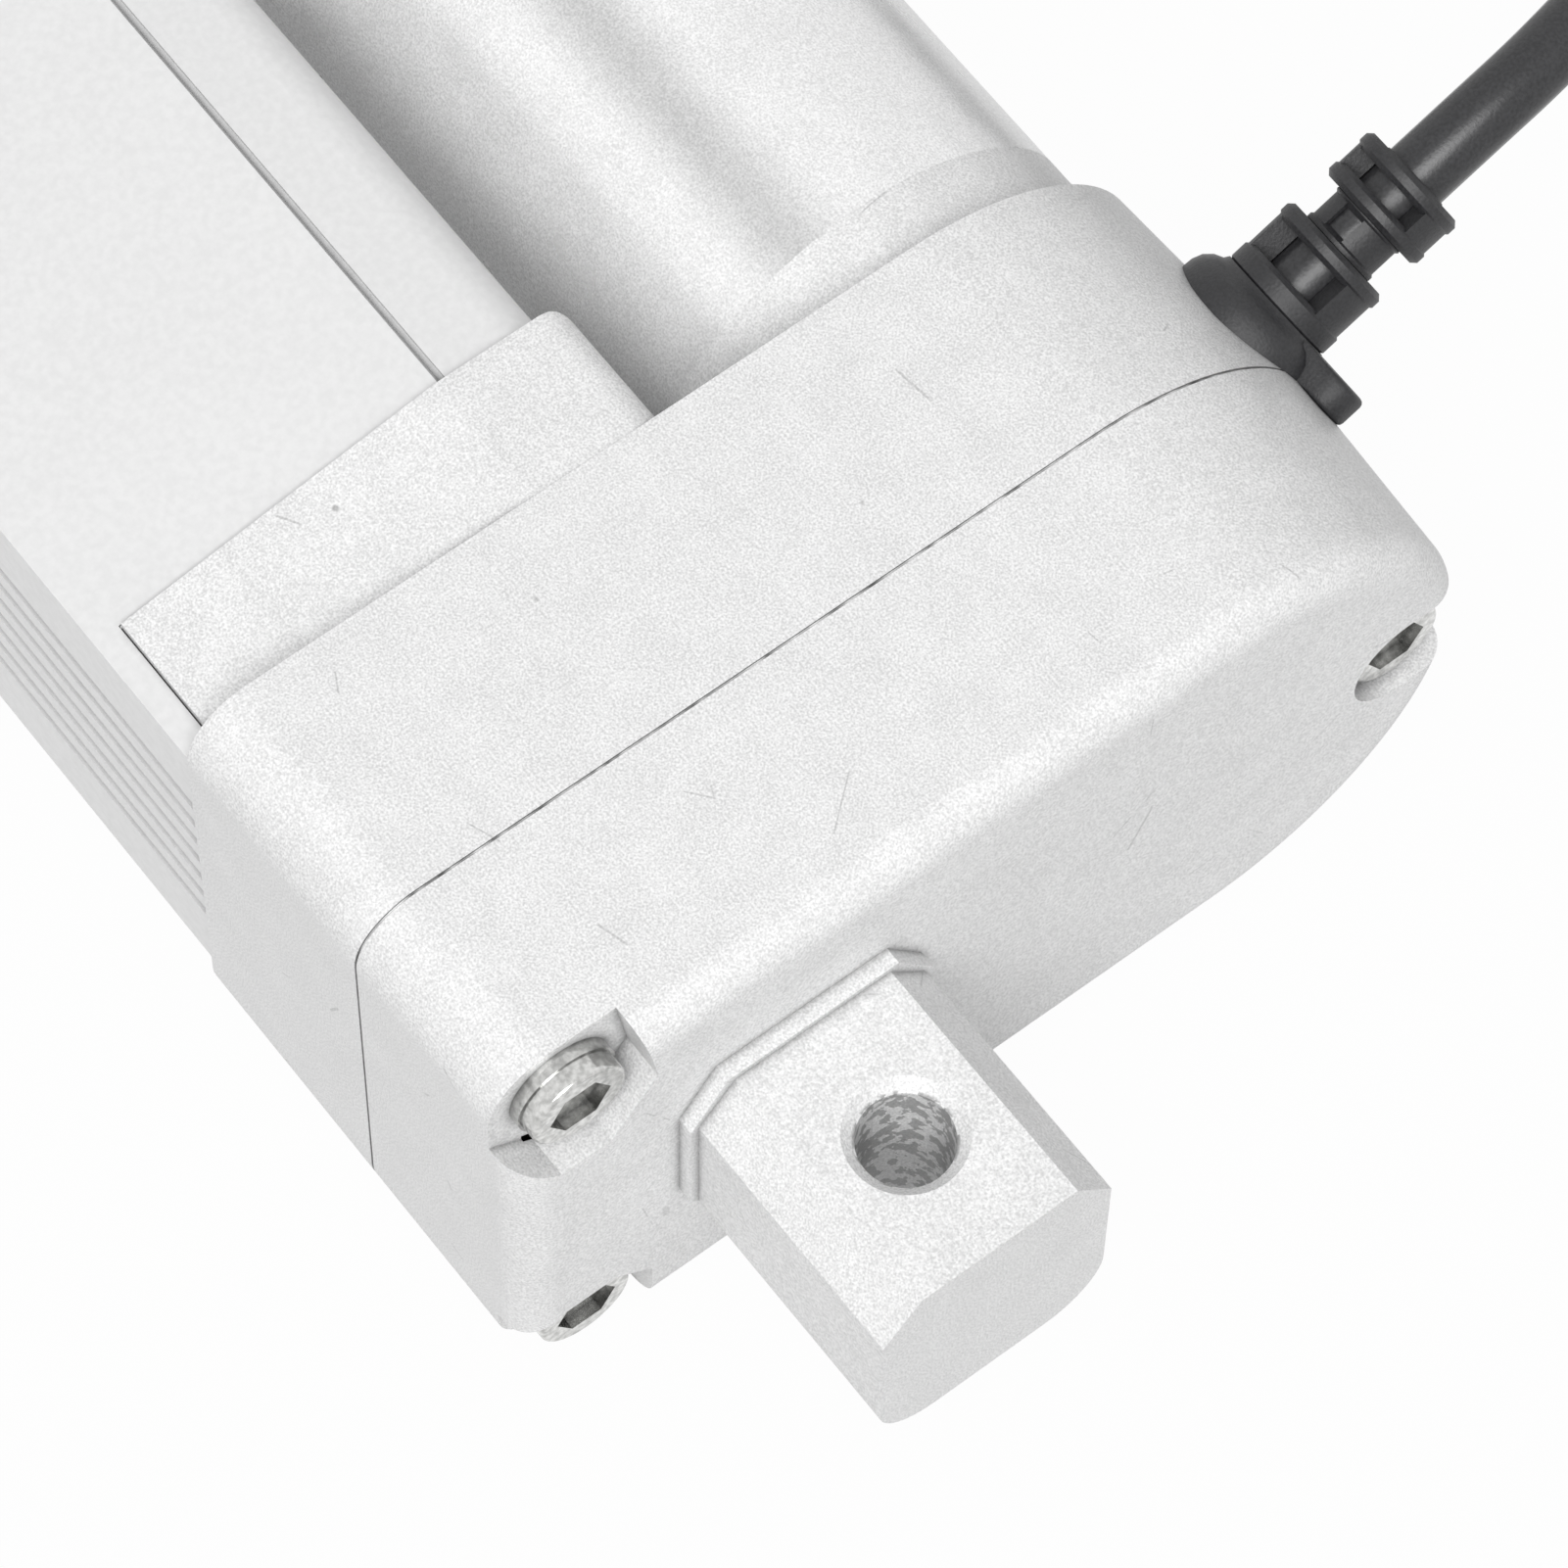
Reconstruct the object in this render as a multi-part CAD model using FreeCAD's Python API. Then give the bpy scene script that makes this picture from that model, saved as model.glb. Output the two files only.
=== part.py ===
import FreeCAD, Part

import math
import os

V = FreeCAD.Vector

# A 12 V linear actuator whose motor lies beside the lead screw, resting flat.
# Origin: centre of the rear mounting hole. +X runs along the rod towards the front and
# +Z is up. The motor lies at -Y. All sizes are in millimetres.
# The pieces are drawn with the motor at +Y, and save() turns each one over to its real
# side. The cable, its coil and its plug are drawn where they lie.

# Fits and gaps
seat_gap = 0.02          # radial gap where a piece is seated for good
run_gap = 0.05           # radial gap of a shaft or rod that runs in its bush
free_gap = 0.5           # gap round a wheel that turns free of the casting
face_gap = 0.1           # end gap between two pieces that do not press on each other
mesh_play = 0.16         # thickness taken off each pair of meshing teeth
over = 1.0               # a cut starts and ends this far outside the metal

# Gear train: motor pinion, compound idler, screw gear
pressure_angle = math.radians(20)
motor_module = 0.8
pinion_teeth = 10
idler_teeth = 28
screw_module = 1.0
idler_pinion_teeth = 10
screw_teeth = 31
pinion_shift = 0.35      # profile shift of each pinion, taken off its wheel
tooth_top = 0.95         # tooth above the pitch circle, in modules
tooth_root = 1.25        # tooth below the pitch circle, in modules
flank_steps = 4
idler_y = screw_module * (idler_pinion_teeth + screw_teeth) / 2
motor_y = idler_y + motor_module * (pinion_teeth + idler_teeth) / 2
screw_gear_width = 8.5
idler_pinion_width = 10.4
idler_gear_width = 5.0
idler_hub_r = 3.4
pinion_overhang = 0.7    # motor pinion past the idler wheel at each end
gear_web_depth = 2.0
gear_hub_r = 7.2
gear_rim_t = 3.4

# Gearbox block
side_y = -21.6
corner_r = 4.8
smallest_r = 0.8
rear_face_x = 10.5
part_x = 27.2
front_face_x = 45.0
wall = 2.4
gear_side_gap = 0.1      # room left between the gear's clearance and the wall
rear_wall = 3.0
front_wall = 3.0
rear_edge_r = 2.6
gasket_t = 0.2
gasket_inset = 0.2
end_lean_rear = 1.0      # the casting leans inward from the part line to each face
end_lean_front = 0.8

# Rear mounting tang
mount_hole_r = 3.2
mount_chamfer = 0.85
tang_half_w = 8.9
tang_half_t = 9.2
tang_end = 9.3
tang_top_bevel_y = 2.85
tang_top_bevel_z = 3.5
tang_bottom_r = 4.5
tang_pad_t = 1.2
tang_pad_proud = 0.6

# Cover screws in their corner notches
screw_r = 2.0
screw_head_r = 3.5
screw_head_h = 1.4
recess_share = 1.15      # hexagon recess, as a share of the screw radius
recess_depth_share = 0.6
head_round_share = 0.22
washer_t = 0.9
washer_lip = 0.2
washer_slit = 0.6
notch_depth = 3.2
notch_right = 4.3        # upper notch, measured from its screw
notch_far_right = 5.2
notch_bend = 0.7
notch_low = 1.6
notch_left = 2.2
notch_drop = 5.5
notch_rise = 2.5
notch_room = 0.7
low_notch_right = 4.6    # lower notch, which follows its screw head more closely
low_notch_low = 1.8
low_notch_drop = 3.9
low_notch_rise = 1.4
post_r = 4.2
cover_post_extra = 1.2
corner_screw_in_y = 5.3
upper_screw_in_z = 4.45
lower_screw_in_z = 3.8
end_screw_in_y = 5.9
cover_screw_len = 18.0
blind_end = 0.5
post_end_gap = 1.8

# Outer tube
tube_inset = 0.3         # tube behind the narrow side of the block
tube_half_side = 14.2
tube_top_z = 18.6
tube_shoulder_y = 5.9
tube_right_y = 13.9
tube_corner_r = 3.2
tube_wall = 2.0
tube_seal_t = 0.2
tube_seal_inset = 0.2
rib_count = 7
rib_pitch = 2.5
rib_groove_w = 1.0
rib_groove_d = 0.45
top_groove_w = 0.6
top_groove_d = 0.5

# Collar that carries the tube, and the front cap
collar_len = 10.3
collar_lip_side = 0.4
collar_lip_top = 0.8
collar_lip_right = 1.5
collar_shoulder_in = 0.6
collar_r = 2.4
cap_len = 16.0
cap_edge_r = 1.2

# Tube screws in the four channels
channel_r = 2.9
channel_in_side = 4.8
channel_in_slope = 3.9
channel_in_right = 4.7
channel_in_top = 5.6
small_screw_r = 1.5
small_head_r = 2.6
small_head_h = 2.2
head_room = 0.3
tube_screw_grip = 10.0
cap_screw_grip = 8.0

# Rod, nut and eye
stroke = 100.0
rod_r = 10.0
rod_wall = 2.0
rod_front_gap = 5.0      # cap face to the shoulder of the rod eye
eye_hole_from_rod = 12.0
eye_spigot_len = 12.0
eye_end = 10.0
eye_half_t = 7.0
eye_flat_len = 19.0
eye_edge_r = 2.0
guide_len = 10.0
guide_wall = 2.0
wiper_len = 3.0
wiper_seat = 1.0
wiper_gap = 0.3
wiper_hole_gap = 0.6
nut_from_face = 3.0
nut_len = 14.0
nut_r = 10.9
nut_pad_half_w = 5.0
nut_pad_gap = 0.35
nut_spigot_len = 6.0
pin_r = 1.2
pin_short = 0.3
pin_clear = 1.2

# Lead screw and its ball bearing
lead = 3.0
thread_r = 4.0
thread_root_r = 3.1
crest_share = 0.36       # crest of one thread ridge, as a share of the lead
flank_share = 0.16
thread_from_face = 1.5
tip_bush_len = 5.0
tip_stub = 1.0
bearing_r = 11.0
bearing_bore_r = 4.0
bearing_width = 7.0
bearing_shoulder = 1.6
shoulder_reach = 2.5
ball_r = 1.985
ball_circle_r = 7.5
ball_count = 7
ball_play = 0.06
race_half_gap = 1.5
cage_half_t = 0.55
cage_half_w = 2.7
bearing_boss_wall = 1.6
boss_lead = 0.8
circlip_t = 1.0
circlip_depth = 0.7
circlip_reach = 1.8
circlip_gap_w = 5.0
gear_clip_t = 0.9
gear_clip_from_gear = 1.0
gear_clip_groove_w = 1.0
gear_clip_groove_d = 0.6
gear_clip_reach = 2.0
gear_clip_mouth = 4.8
spacer_wall = 1.4
screw_stub_r = 3.0
rear_bush_r = 5.0
rear_bush_wall = 1.6
rear_bush_sink = 1.0
gear_from_wall = 4.0
stub_end_gap = 0.3

# Idler axle
axle_r = 2.0
axle_seat = 1.5
axle_boss_r = 4.2

# Motor
motor_r = 17.1
motor_wall = 1.5
ring_len = 5.5
motor_end_x = 107.0
motor_cap_t = 4.0
motor_cap_edge_r = 1.8
motor_cap_hub = 1.6
motor_cap_hub_wall = 2.0
motor_cap_rim = 3.0
motor_cap_rim_t = 1.5
plate_t = 9.0
shaft_r = 1.6
shaft_hole_gap = 0.5
shaft_past_pinion = 2.0
bush_r = 4.5
bush_len = 4.0
bush_hole_gap = 0.4
magnet_t = 2.25
magnet_past_core = 3.0
magnet_half_angle = 62.0
air_gap = 0.7
armature_poles = 5
slot_half_w = 1.5
slot_floor_r = 5.0
coil_end_len = 3.5
coil_end_in = 1.2
core_from_commutator = 4.5
core_to_end = 14.5
commutator_from_plate = 2.6
commutator_len = 5.4
commutator_r = 5.0
commutator_slit = 0.5
brush_len = 4.6
brush_w = 3.0
brush_in = 1.0
brush_box_wall = 1.0
brush_spring_r = 1.1
brush_spring_bore_r = 0.6
brush_spring_len = 1.3
brush_plate_t = 1.4
motor_screw_offset = 11.5
motor_screw_end = 2.0

# Limit switches on their board
board_t = 1.4
board_side_gap = 1.1     # board edge to the screw channels
board_past_face = 1.8
switch_len = 12.8
switch_half_w = 2.9
switch_h = 4.9
plunger_r = 0.8
plunger_rise = 1.0
plunger_travel = 0.6
plunger_gap = 0.4        # cam to plunger at each end of the stroke
plunger_from_end = 3.4
cam_len = 6.0
cam_start = 4.0
cam_half_w = 2.5
cam_over_switch = 0.5
diode_r = 1.3
diode_len = 5.0
diode_half_pitch = 3.2

# Inner wires
wire_r = 0.65
wire_hole_r = 1.5
motor_wire_y = motor_y + 10.5
motor_wire_z = 3.6
switch_wire_in = 1.5

# Strain relief, cable, coil and plug
relief_from_face = 12.8
relief_angle = 24.0      # its axis rises this steeply, square to the round end
relief_bore_r = 3.4
relief_in = 5.0
wire_room = 2.0          # the entry hole runs this far past the relief
flange_r = 6.0
flange_seat = 2.0
flange_t = 0.8
tab_len = 9.0
tab_half_w = 2.2
tab_t = 2.2
boot_neck_wall = 0.5
relief_len = 14.4
# Each segment: its radius, its length, the neck before it, and its windows' length
boot_segments = [(4.4, 6.6, 0.1, 3.0), (4.2, 4.0, 2.8, 1.5)]
neck_window_from_face = 8.3
neck_window = 1.7
neck_window_w = 1.7
cable_r = 2.4
jacket_short = 0.7
coil_turn_r = 29.9
coil_wide = 2
coil_layers = 2
coil_edge_share = 0.9
tie_w = 5.0
tie_t = 1.0
plug_len = 16.0
plug_half_w = 4.6
plug_h = 6.4
plug_wall = 1.2
plug_back = 3.0
socket_depth = 6.0
contact_r = 0.6
contact_pitch = 3.6
contact_in = 0.6

# Places along X, worked out from the sizes above
rear_inner_x = rear_face_x + rear_wall
notch_floor_x = rear_face_x + notch_depth
cover_seat_x = notch_floor_x - washer_t
housing_rear_x = part_x + gasket_t
front_inner_x = front_face_x - front_wall
screw_gear_x = rear_inner_x + gear_from_wall
gear_clip_x = screw_gear_x + screw_gear_width + gear_clip_from_gear
idler_gear_x = screw_gear_x + idler_pinion_width
idler_end_x = idler_gear_x + idler_gear_width
pinion_x = idler_gear_x - pinion_overhang
pinion_end_x = idler_end_x + pinion_overhang
bearing_front_x = front_face_x - bearing_shoulder
bearing_rear_x = bearing_front_x - bearing_width
bearing_mid_x = bearing_rear_x + bearing_width / 2
post_end_x = notch_floor_x + cover_screw_len + post_end_gap
collar_front_x = front_face_x + collar_len
tube_start_x = collar_front_x + tube_seal_t
nut_x = front_face_x + nut_from_face
rod_rear_x = nut_x + nut_len
nut_pin_x = rod_rear_x + nut_spigot_len / 2
tip_bush_x = rod_rear_x + nut_spigot_len + stroke + over
tube_end_x = tip_bush_x + 0.6 * tip_bush_len
guide_end_x = tube_end_x + guide_len
cap_front_x = tube_end_x + cap_len
wiper_x = cap_front_x - wiper_seat - wiper_len
eye_x = cap_front_x + rod_front_gap
eye_hole_x = eye_x + eye_hole_from_rod
eye_pin_x = eye_x - eye_spigot_len / 2
thread_start_x = front_face_x + thread_from_face
ring_front_x = front_face_x + ring_len
motor_plate_x = front_face_x + plate_t
commutator_x = motor_plate_x + commutator_from_plate
brush_x = commutator_x + brush_in
armature_x = commutator_x + commutator_len + core_from_commutator
armature_end_x = motor_end_x - core_to_end
motor_cap_x = motor_end_x + motor_cap_t
relief_x = front_face_x - relief_from_face
board_x = front_face_x + board_past_face

# Places across
gear_room_r = screw_module * (screw_teeth / 2 + 1) + free_gap
half_h = gear_room_r + gear_side_gap + wall
rod_bore_r = rod_r - rod_wall
tube_side_y = side_y + tube_inset
collar_half_side = tube_half_side + collar_lip_side
collar_top_z = tube_top_z + collar_lip_top
collar_right_y = tube_right_y + collar_lip_right
collar_shoulder_y = tube_shoulder_y - collar_shoulder_in
corner_screw_y = side_y + corner_screw_in_y
upper_screw_z = half_h - upper_screw_in_z
lower_screw_z = lower_screw_in_z - half_h
end_y = motor_y + half_h
end_screw_y = end_y - end_screw_in_y
guide_r = rod_r + run_gap + guide_wall
motor_in_r = motor_r - motor_wall
plate_r = motor_in_r - run_gap
magnet_r = plate_r - magnet_t
armature_r = magnet_r - air_gap
brush_end_z = commutator_r + brush_len
board_back_y = tube_side_y + tube_wall + face_gap
board_top_y = board_back_y + board_t
switch_top_y = board_top_y + switch_h
cam_top_y = switch_top_y + cam_over_switch
entry_r = half_h - relief_in
entry_y = motor_y + entry_r
relief_end_y = end_y + relief_len
floor_z = -half_h
cover_screw_places = [
    (corner_screw_y, upper_screw_z),
    (corner_screw_y, lower_screw_z),
    (end_screw_y, 0.0),
]
channel_side_y = tube_side_y + channel_in_side
channel_side_z = tube_half_side - channel_in_slope
channel_right_y = tube_right_y - channel_in_right
channel_right_z = tube_top_z - channel_in_top
channel_places = [
    (channel_side_y, channel_side_z),
    (channel_side_y, -channel_side_z),
    (channel_right_y, channel_right_z),
    (channel_right_y, -channel_right_z),
]
switch_wire_y = channel_side_y + switch_wire_in
board_half_w = channel_side_z - channel_r - board_side_gap
wire_holes = [(switch_wire_y, 0.0), (motor_wire_y, motor_wire_z), (motor_wire_y, -motor_wire_z)]

os.makedirs("parts", exist_ok=True)


def save(name, shape, turn_over=True):
    """Writes one node; a list becomes a group of separate solids."""
    if isinstance(shape, list):
        shape = Part.makeCompound(shape)
    if turn_over:
        shape = shape.mirror(V(0, 0, 0), V(0, 1, 0))
    shape.exportStep("parts/" + name + ".step")


def rod_along_x(r, x0, x1, y=0.0, z=0.0):
    return Part.makeCylinder(r, x1 - x0, V(x0, y, z), V(1, 0, 0))


def ring_along_x(r_out, r_in, x0, x1, y=0.0, z=0.0):
    return rod_along_x(r_out, x0, x1, y, z).cut(rod_along_x(r_in, x0 - over, x1 + over, y, z))


def rod_along_y(r, x, y0, y1, z=0.0):
    return Part.makeCylinder(r, y1 - y0, V(x, y0, z), V(0, 1, 0))


def rod_along_z(r, x, y, z0, z1):
    return Part.makeCylinder(r, z1 - z0, V(x, y, z0), V(0, 0, 1))


def block(x0, x1, y0, y1, z0, z1):
    return Part.makeBox(x1 - x0, y1 - y0, z1 - z0, V(x0, y0, z0))


def mirrored(shape):
    """The same shape on the other side of the mid-height plane."""
    return shape.mirror(V(0, 0, 0), V(0, 0, 1))


def at_relief(shape):
    """Raises something drawn level at the round end to the strain relief's angle."""
    raised = shape.copy()
    raised.rotate(V(0, motor_y, 0), V(1, 0, 0), relief_angle)
    return raised


def relief_point(x, along, across):
    """A point near the relief's axis: its distance from the motor's axis, and how far above."""
    a = math.radians(relief_angle)
    return V(x, motor_y + along * math.cos(a) - across * math.sin(a),
             along * math.sin(a) + across * math.cos(a))


def fused(shape, pieces):
    for piece in pieces:
        shape = shape.fuse(piece)
    return shape


def cut_all(shape, tools):
    for tool in tools:
        shape = shape.cut(tool)
    return shape


def polygon_prism(points, x0, x1):
    """Extrudes a closed outline of (y, z) points along X."""
    corners = [V(x0, y, z) for y, z in points]
    face = Part.Face(Part.makePolygon(corners + corners[:1]))
    return face.extrude(V(x1 - x0, 0, 0))


def edges_at(shape, x):
    """The edges that lie wholly in the plane at x."""
    return [e for e in shape.Edges if abs(e.BoundBox.XMin - x) < seat_gap and e.BoundBox.XLength < seat_gap]


def body_outline(inset, x0, lean=0.0):
    """The gearbox outline, inset evenly: rounded left corners and a full round end."""
    left = side_y + inset
    end_centre_y = motor_y - lean
    top = half_h - inset
    r = max(corner_r - inset, smallest_r)
    bow = r * (1 - math.sqrt(0.5))
    edges = [
        Part.LineSegment(V(x0, end_centre_y, top), V(x0, left + r, top)),
        Part.Arc(V(x0, left + r, top), V(x0, left + bow, top - bow), V(x0, left, top - r)),
        Part.LineSegment(V(x0, left, top - r), V(x0, left, r - top)),
        Part.Arc(V(x0, left, r - top), V(x0, left + bow, bow - top), V(x0, left + r, -top)),
        Part.LineSegment(V(x0, left + r, -top), V(x0, end_centre_y, -top)),
        Part.Arc(V(x0, end_centre_y, -top), V(x0, end_centre_y + top, 0), V(x0, end_centre_y, top)),
    ]
    return Part.Wire([edge.toShape() for edge in edges])


def body_prism(inset, x0, x1):
    return Part.Face(body_outline(inset, x0)).extrude(V(x1 - x0, 0, 0))


def cast_body(x0, face_x, lean):
    """The outside of one casting: its round end leans inward from the part line to its face."""
    return Part.makeLoft([body_outline(0, x0), body_outline(0, face_x, lean)], True, True)


def tube_prism(left, half_side, shoulder_y, top, right, r, x0, x1):
    """The tube outline: flat narrow side, sloping top and bottom, square rounded motor side."""
    bow = r * (1 - math.sqrt(0.5))
    edges = [Part.LineSegment(V(x0, left, half_side), V(x0, left, -half_side)),
             Part.LineSegment(V(x0, right, top - r), V(x0, right, r - top))]
    for sign in (1, -1):
        side = V(x0, left, sign * half_side)
        shoulder = V(x0, shoulder_y, sign * top)
        flat_end = V(x0, right - r, sign * top)
        edges.append(Part.LineSegment(side, shoulder))
        edges.append(Part.LineSegment(shoulder, flat_end))
        edges.append(Part.Arc(flat_end, V(x0, right - bow, sign * (top - bow)), V(x0, right, sign * (top - r))))
    wire = Part.Wire(Part.__sortEdges__([edge.toShape() for edge in edges]))
    return Part.Face(wire).extrude(V(x1 - x0, 0, 0))


def tube_inside(gap, x0, x1):
    """The hollow of the tube and the collar, with a gap all round."""
    inset = tube_wall + gap
    slope = (tube_top_z - tube_half_side) / (tube_shoulder_y - tube_side_y)
    stretch = math.sqrt(1 + slope * slope)
    half_side = tube_half_side + slope * inset - inset * stretch
    shoulder = tube_shoulder_y - inset * (stretch - 1) / slope
    r = max(tube_corner_r - inset, smallest_r)
    return tube_prism(tube_side_y + inset, half_side, shoulder, tube_top_z - inset,
                      tube_right_y - inset, r, x0, x1)


def tube_room(x0, x1):
    """The hollow of the tube between its screw channels."""
    return cut_all(tube_inside(0, x0, x1), channels(channel_r, x0, x1))


def channels(r, x0, x1):
    return [rod_along_x(r, x0, x1, y, z) for y, z in channel_places]


def cover_screw_holes(x0, x1):
    return [rod_along_x(screw_r + seat_gap, x0, x1, y, z) for y, z in cover_screw_places]


def cover_posts(r, x0, x1):
    """Metal round the cover screws; the end one reaches the round wall."""
    posts = [rod_along_x(r, x0, x1, y, z) for y, z in cover_screw_places]
    posts.append(block(x0, x1, end_screw_y, end_y - wall / 2, -post_r, post_r))
    gear_room = rod_along_x(gear_room_r, x0 - over, x1 + over)
    bound = body_prism(wall / 2, x0, x1).cut(gear_room)
    return [post.common(bound) for post in posts]


def gear_prism(module, teeth, shift, tooth_angle, x0, x1, y):
    """A spur gear with involute flanks; one tooth points at tooth_angle, 0 being +Y."""
    pitch_r = module * teeth / 2
    base_r = pitch_r * math.cos(pressure_angle)
    root_r = pitch_r - module * (tooth_root - shift)
    tip_r = pitch_r + module * (tooth_top + shift)
    thickness = module * (math.pi / 2 + 2 * shift * math.tan(pressure_angle)) - mesh_play / 2
    half_angle = thickness / (2 * pitch_r) + math.tan(pressure_angle) - pressure_angle
    start_r = max(base_r, root_r)
    flank = []
    for i in range(flank_steps + 1):
        r = start_r + (tip_r - start_r) * i / flank_steps
        pressure = math.acos(min(base_r / r, 1.0))
        flank.append((r, half_angle - math.tan(pressure) + pressure))
    if root_r < base_r:
        flank.insert(0, (root_r, flank[0][1]))
    points = []
    for tooth in range(teeth):
        centre = tooth_angle + 2 * math.pi * tooth / teeth
        for r, half in flank:
            points.append((y + r * math.cos(centre - half), r * math.sin(centre - half)))
        for r, half in reversed(flank):
            points.append((y + r * math.cos(centre + half), r * math.sin(centre + half)))
    return polygon_prism(points, x0, x1)


def bends(points):
    """For each inner point: how far the arc reaches along its runs, and the arc's radius."""
    found = []
    for i in range(1, len(points) - 1):
        before = points[i] - points[i - 1]
        after = points[i + 1] - points[i]
        reach = 0.45 * min(before.Length, after.Length)
        found.append((reach, reach / math.tan(before.getAngle(after) / 2)))
    return found


def route_wire(points):
    """Straight runs joined by tangent arcs, each as large as its two runs allow."""
    edges = []
    start = points[0]
    for i, (reach, radius) in enumerate(bends(points), 1):
        along_in = (points[i] - points[i - 1]).normalize()
        along_out = (points[i + 1] - points[i]).normalize()
        first = points[i] - along_in * reach
        last = points[i] + along_out * reach
        inward = (along_out - along_in).normalize()
        middle = points[i] + inward * (math.hypot(reach, radius) - radius)
        edges.append(Part.LineSegment(start, first).toShape())
        edges.append(Part.Arc(first, middle, last).toShape())
        start = last
    edges.append(Part.LineSegment(start, points[-1]).toShape())
    return Part.Wire(edges)


def sweep_round(points, r):
    """A round wire or cable along a route."""
    circle = Part.Wire(Part.Circle(points[0], points[1] - points[0], r).toShape())
    return route_wire(points).makePipeShell([circle], True, False)


def sweep_cable(name, points):
    """A stretch of the cable; prints its bend radii, length and volume against section by length."""
    tube = sweep_round(points, cable_r)
    length = route_wire(points).Length
    ratio = tube.Volume / (math.pi * cable_r ** 2 * length)
    print(name, [round(radius, 1) for _, radius in bends(points)], round(length, 1), round(ratio, 4))
    return tube


def largest(shape):
    return max(shape.Solids, key=lambda solid: solid.Volume)


def make_pan_screw(seat_x, y, z, r, head_r, head_h, end_x):
    """A pan-head screw whose head lies behind seat_x, with a hexagon recess."""
    head = rod_along_x(head_r, seat_x - head_h, seat_x, y, z)
    head = head.makeFillet(head_h * head_round_share, edges_at(head, seat_x - head_h))
    recess_r = r * recess_share
    hexagon = [(y + recess_r * math.cos(i * math.pi / 3), z + recess_r * math.sin(i * math.pi / 3))
               for i in range(6)]
    recess = polygon_prism(hexagon, seat_x - head_h - over, seat_x - head_h * (1 - recess_depth_share))
    return head.fuse(rod_along_x(r, seat_x, end_x, y, z)).cut(recess).removeSplitter()


# Rear cover: die-cast shell with the mounting tang
def cover_notches():
    """Open notches that let the screw heads sit at the corners and at the round end."""
    edge_y = side_y - over
    edge_z = half_h + over
    upper = [
        (corner_screw_y + notch_right, edge_z),
        (corner_screw_y + notch_far_right, upper_screw_z - notch_bend),
        (corner_screw_y + notch_low, upper_screw_z - notch_drop),
        (corner_screw_y - notch_left, upper_screw_z - notch_drop),
        (edge_y, upper_screw_z - notch_rise),
        (edge_y, edge_z),
    ]
    lower = [
        (corner_screw_y + low_notch_right, -edge_z),
        (corner_screw_y + low_notch_right, lower_screw_z + low_notch_rise),
        (corner_screw_y + low_notch_low, lower_screw_z + low_notch_drop),
        (corner_screw_y - notch_left, lower_screw_z + low_notch_drop),
        (edge_y, lower_screw_z + low_notch_rise),
        (edge_y, -edge_z),
    ]
    corners = [polygon_prism(outline, rear_face_x - over, notch_floor_x) for outline in (upper, lower)]
    slot_half = screw_head_r + notch_room
    slot = rod_along_x(slot_half, rear_face_x - over, notch_floor_x, end_screw_y)
    slot_mouth = block(rear_face_x - over, notch_floor_x, end_screw_y, end_y + over, -slot_half, slot_half)
    return corners + [slot, slot_mouth]


def tang_outline(proud):
    """Upper part of the tang's section, with its two bevels, down to the round bottom edges."""
    w = tang_half_w + proud
    t = tang_half_t + proud
    bevel_y = tang_half_w - tang_top_bevel_y + proud
    bevel_z = tang_half_t - tang_top_bevel_z
    low = tang_bottom_r - tang_half_t
    return [(-w, bevel_z), (-bevel_y, t), (bevel_y, t), (w, bevel_z), (w, low), (-w, low)]


def make_tang():
    slim = tang_half_w - tang_bottom_r
    low = tang_bottom_r - tang_half_t
    tang = polygon_prism(tang_outline(0), -tang_end, rear_inner_x)
    tang = tang.fuse(block(-tang_end, rear_inner_x, -slim, slim, -tang_half_t, low))
    for y in (-slim, slim):
        tang = tang.fuse(rod_along_x(tang_bottom_r, -tang_end, rear_inner_x, y, low))
    p = tang_pad_proud
    pad = tang_outline(p)[:5] + [(slim, -tang_half_t - p), (-slim, -tang_half_t - p), (-tang_half_w - p, low)]
    tang = tang.fuse(polygon_prism(pad, rear_face_x - tang_pad_t, rear_inner_x))
    tang = tang.cut(rod_along_z(mount_hole_r, 0, 0, -tang_half_t - over, tang_half_t + over))
    mouth = Part.makeCone(mount_hole_r, mount_hole_r + 2 * mount_chamfer, 2 * mount_chamfer,
                          V(0, 0, tang_half_t - mount_chamfer), V(0, 0, 1))
    return tang.cut(mouth).cut(mirrored(mouth)).removeSplitter()


def make_rear_cover():
    shell = cast_body(part_x, rear_face_x, end_lean_rear)
    shell = shell.makeFillet(rear_edge_r, edges_at(shell, rear_face_x))
    solid_block = shell
    shell = shell.cut(body_prism(wall, rear_inner_x, part_x + over))
    posts = cover_posts(post_r + cover_post_extra, rear_inner_x - over, part_x)
    shell = fused(shell, [post.common(solid_block) for post in posts])
    shell = shell.fuse(rod_along_x(axle_boss_r, rear_inner_x - over, screw_gear_x - boss_lead, idler_y))
    shell = shell.fuse(rod_along_x(rear_bush_r + rear_bush_wall, rear_inner_x - over, screw_gear_x - boss_lead))
    shell = shell.fuse(make_tang())
    shell = shell.cut(rod_along_x(axle_r + seat_gap, rear_inner_x - axle_seat, part_x, idler_y))
    shell = shell.cut(rod_along_x(rear_bush_r + seat_gap, rear_inner_x - rear_bush_sink, part_x))
    shell = cut_all(shell, cover_notches())
    return cut_all(shell, cover_screw_holes(rear_face_x, part_x + over)).removeSplitter()


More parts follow.
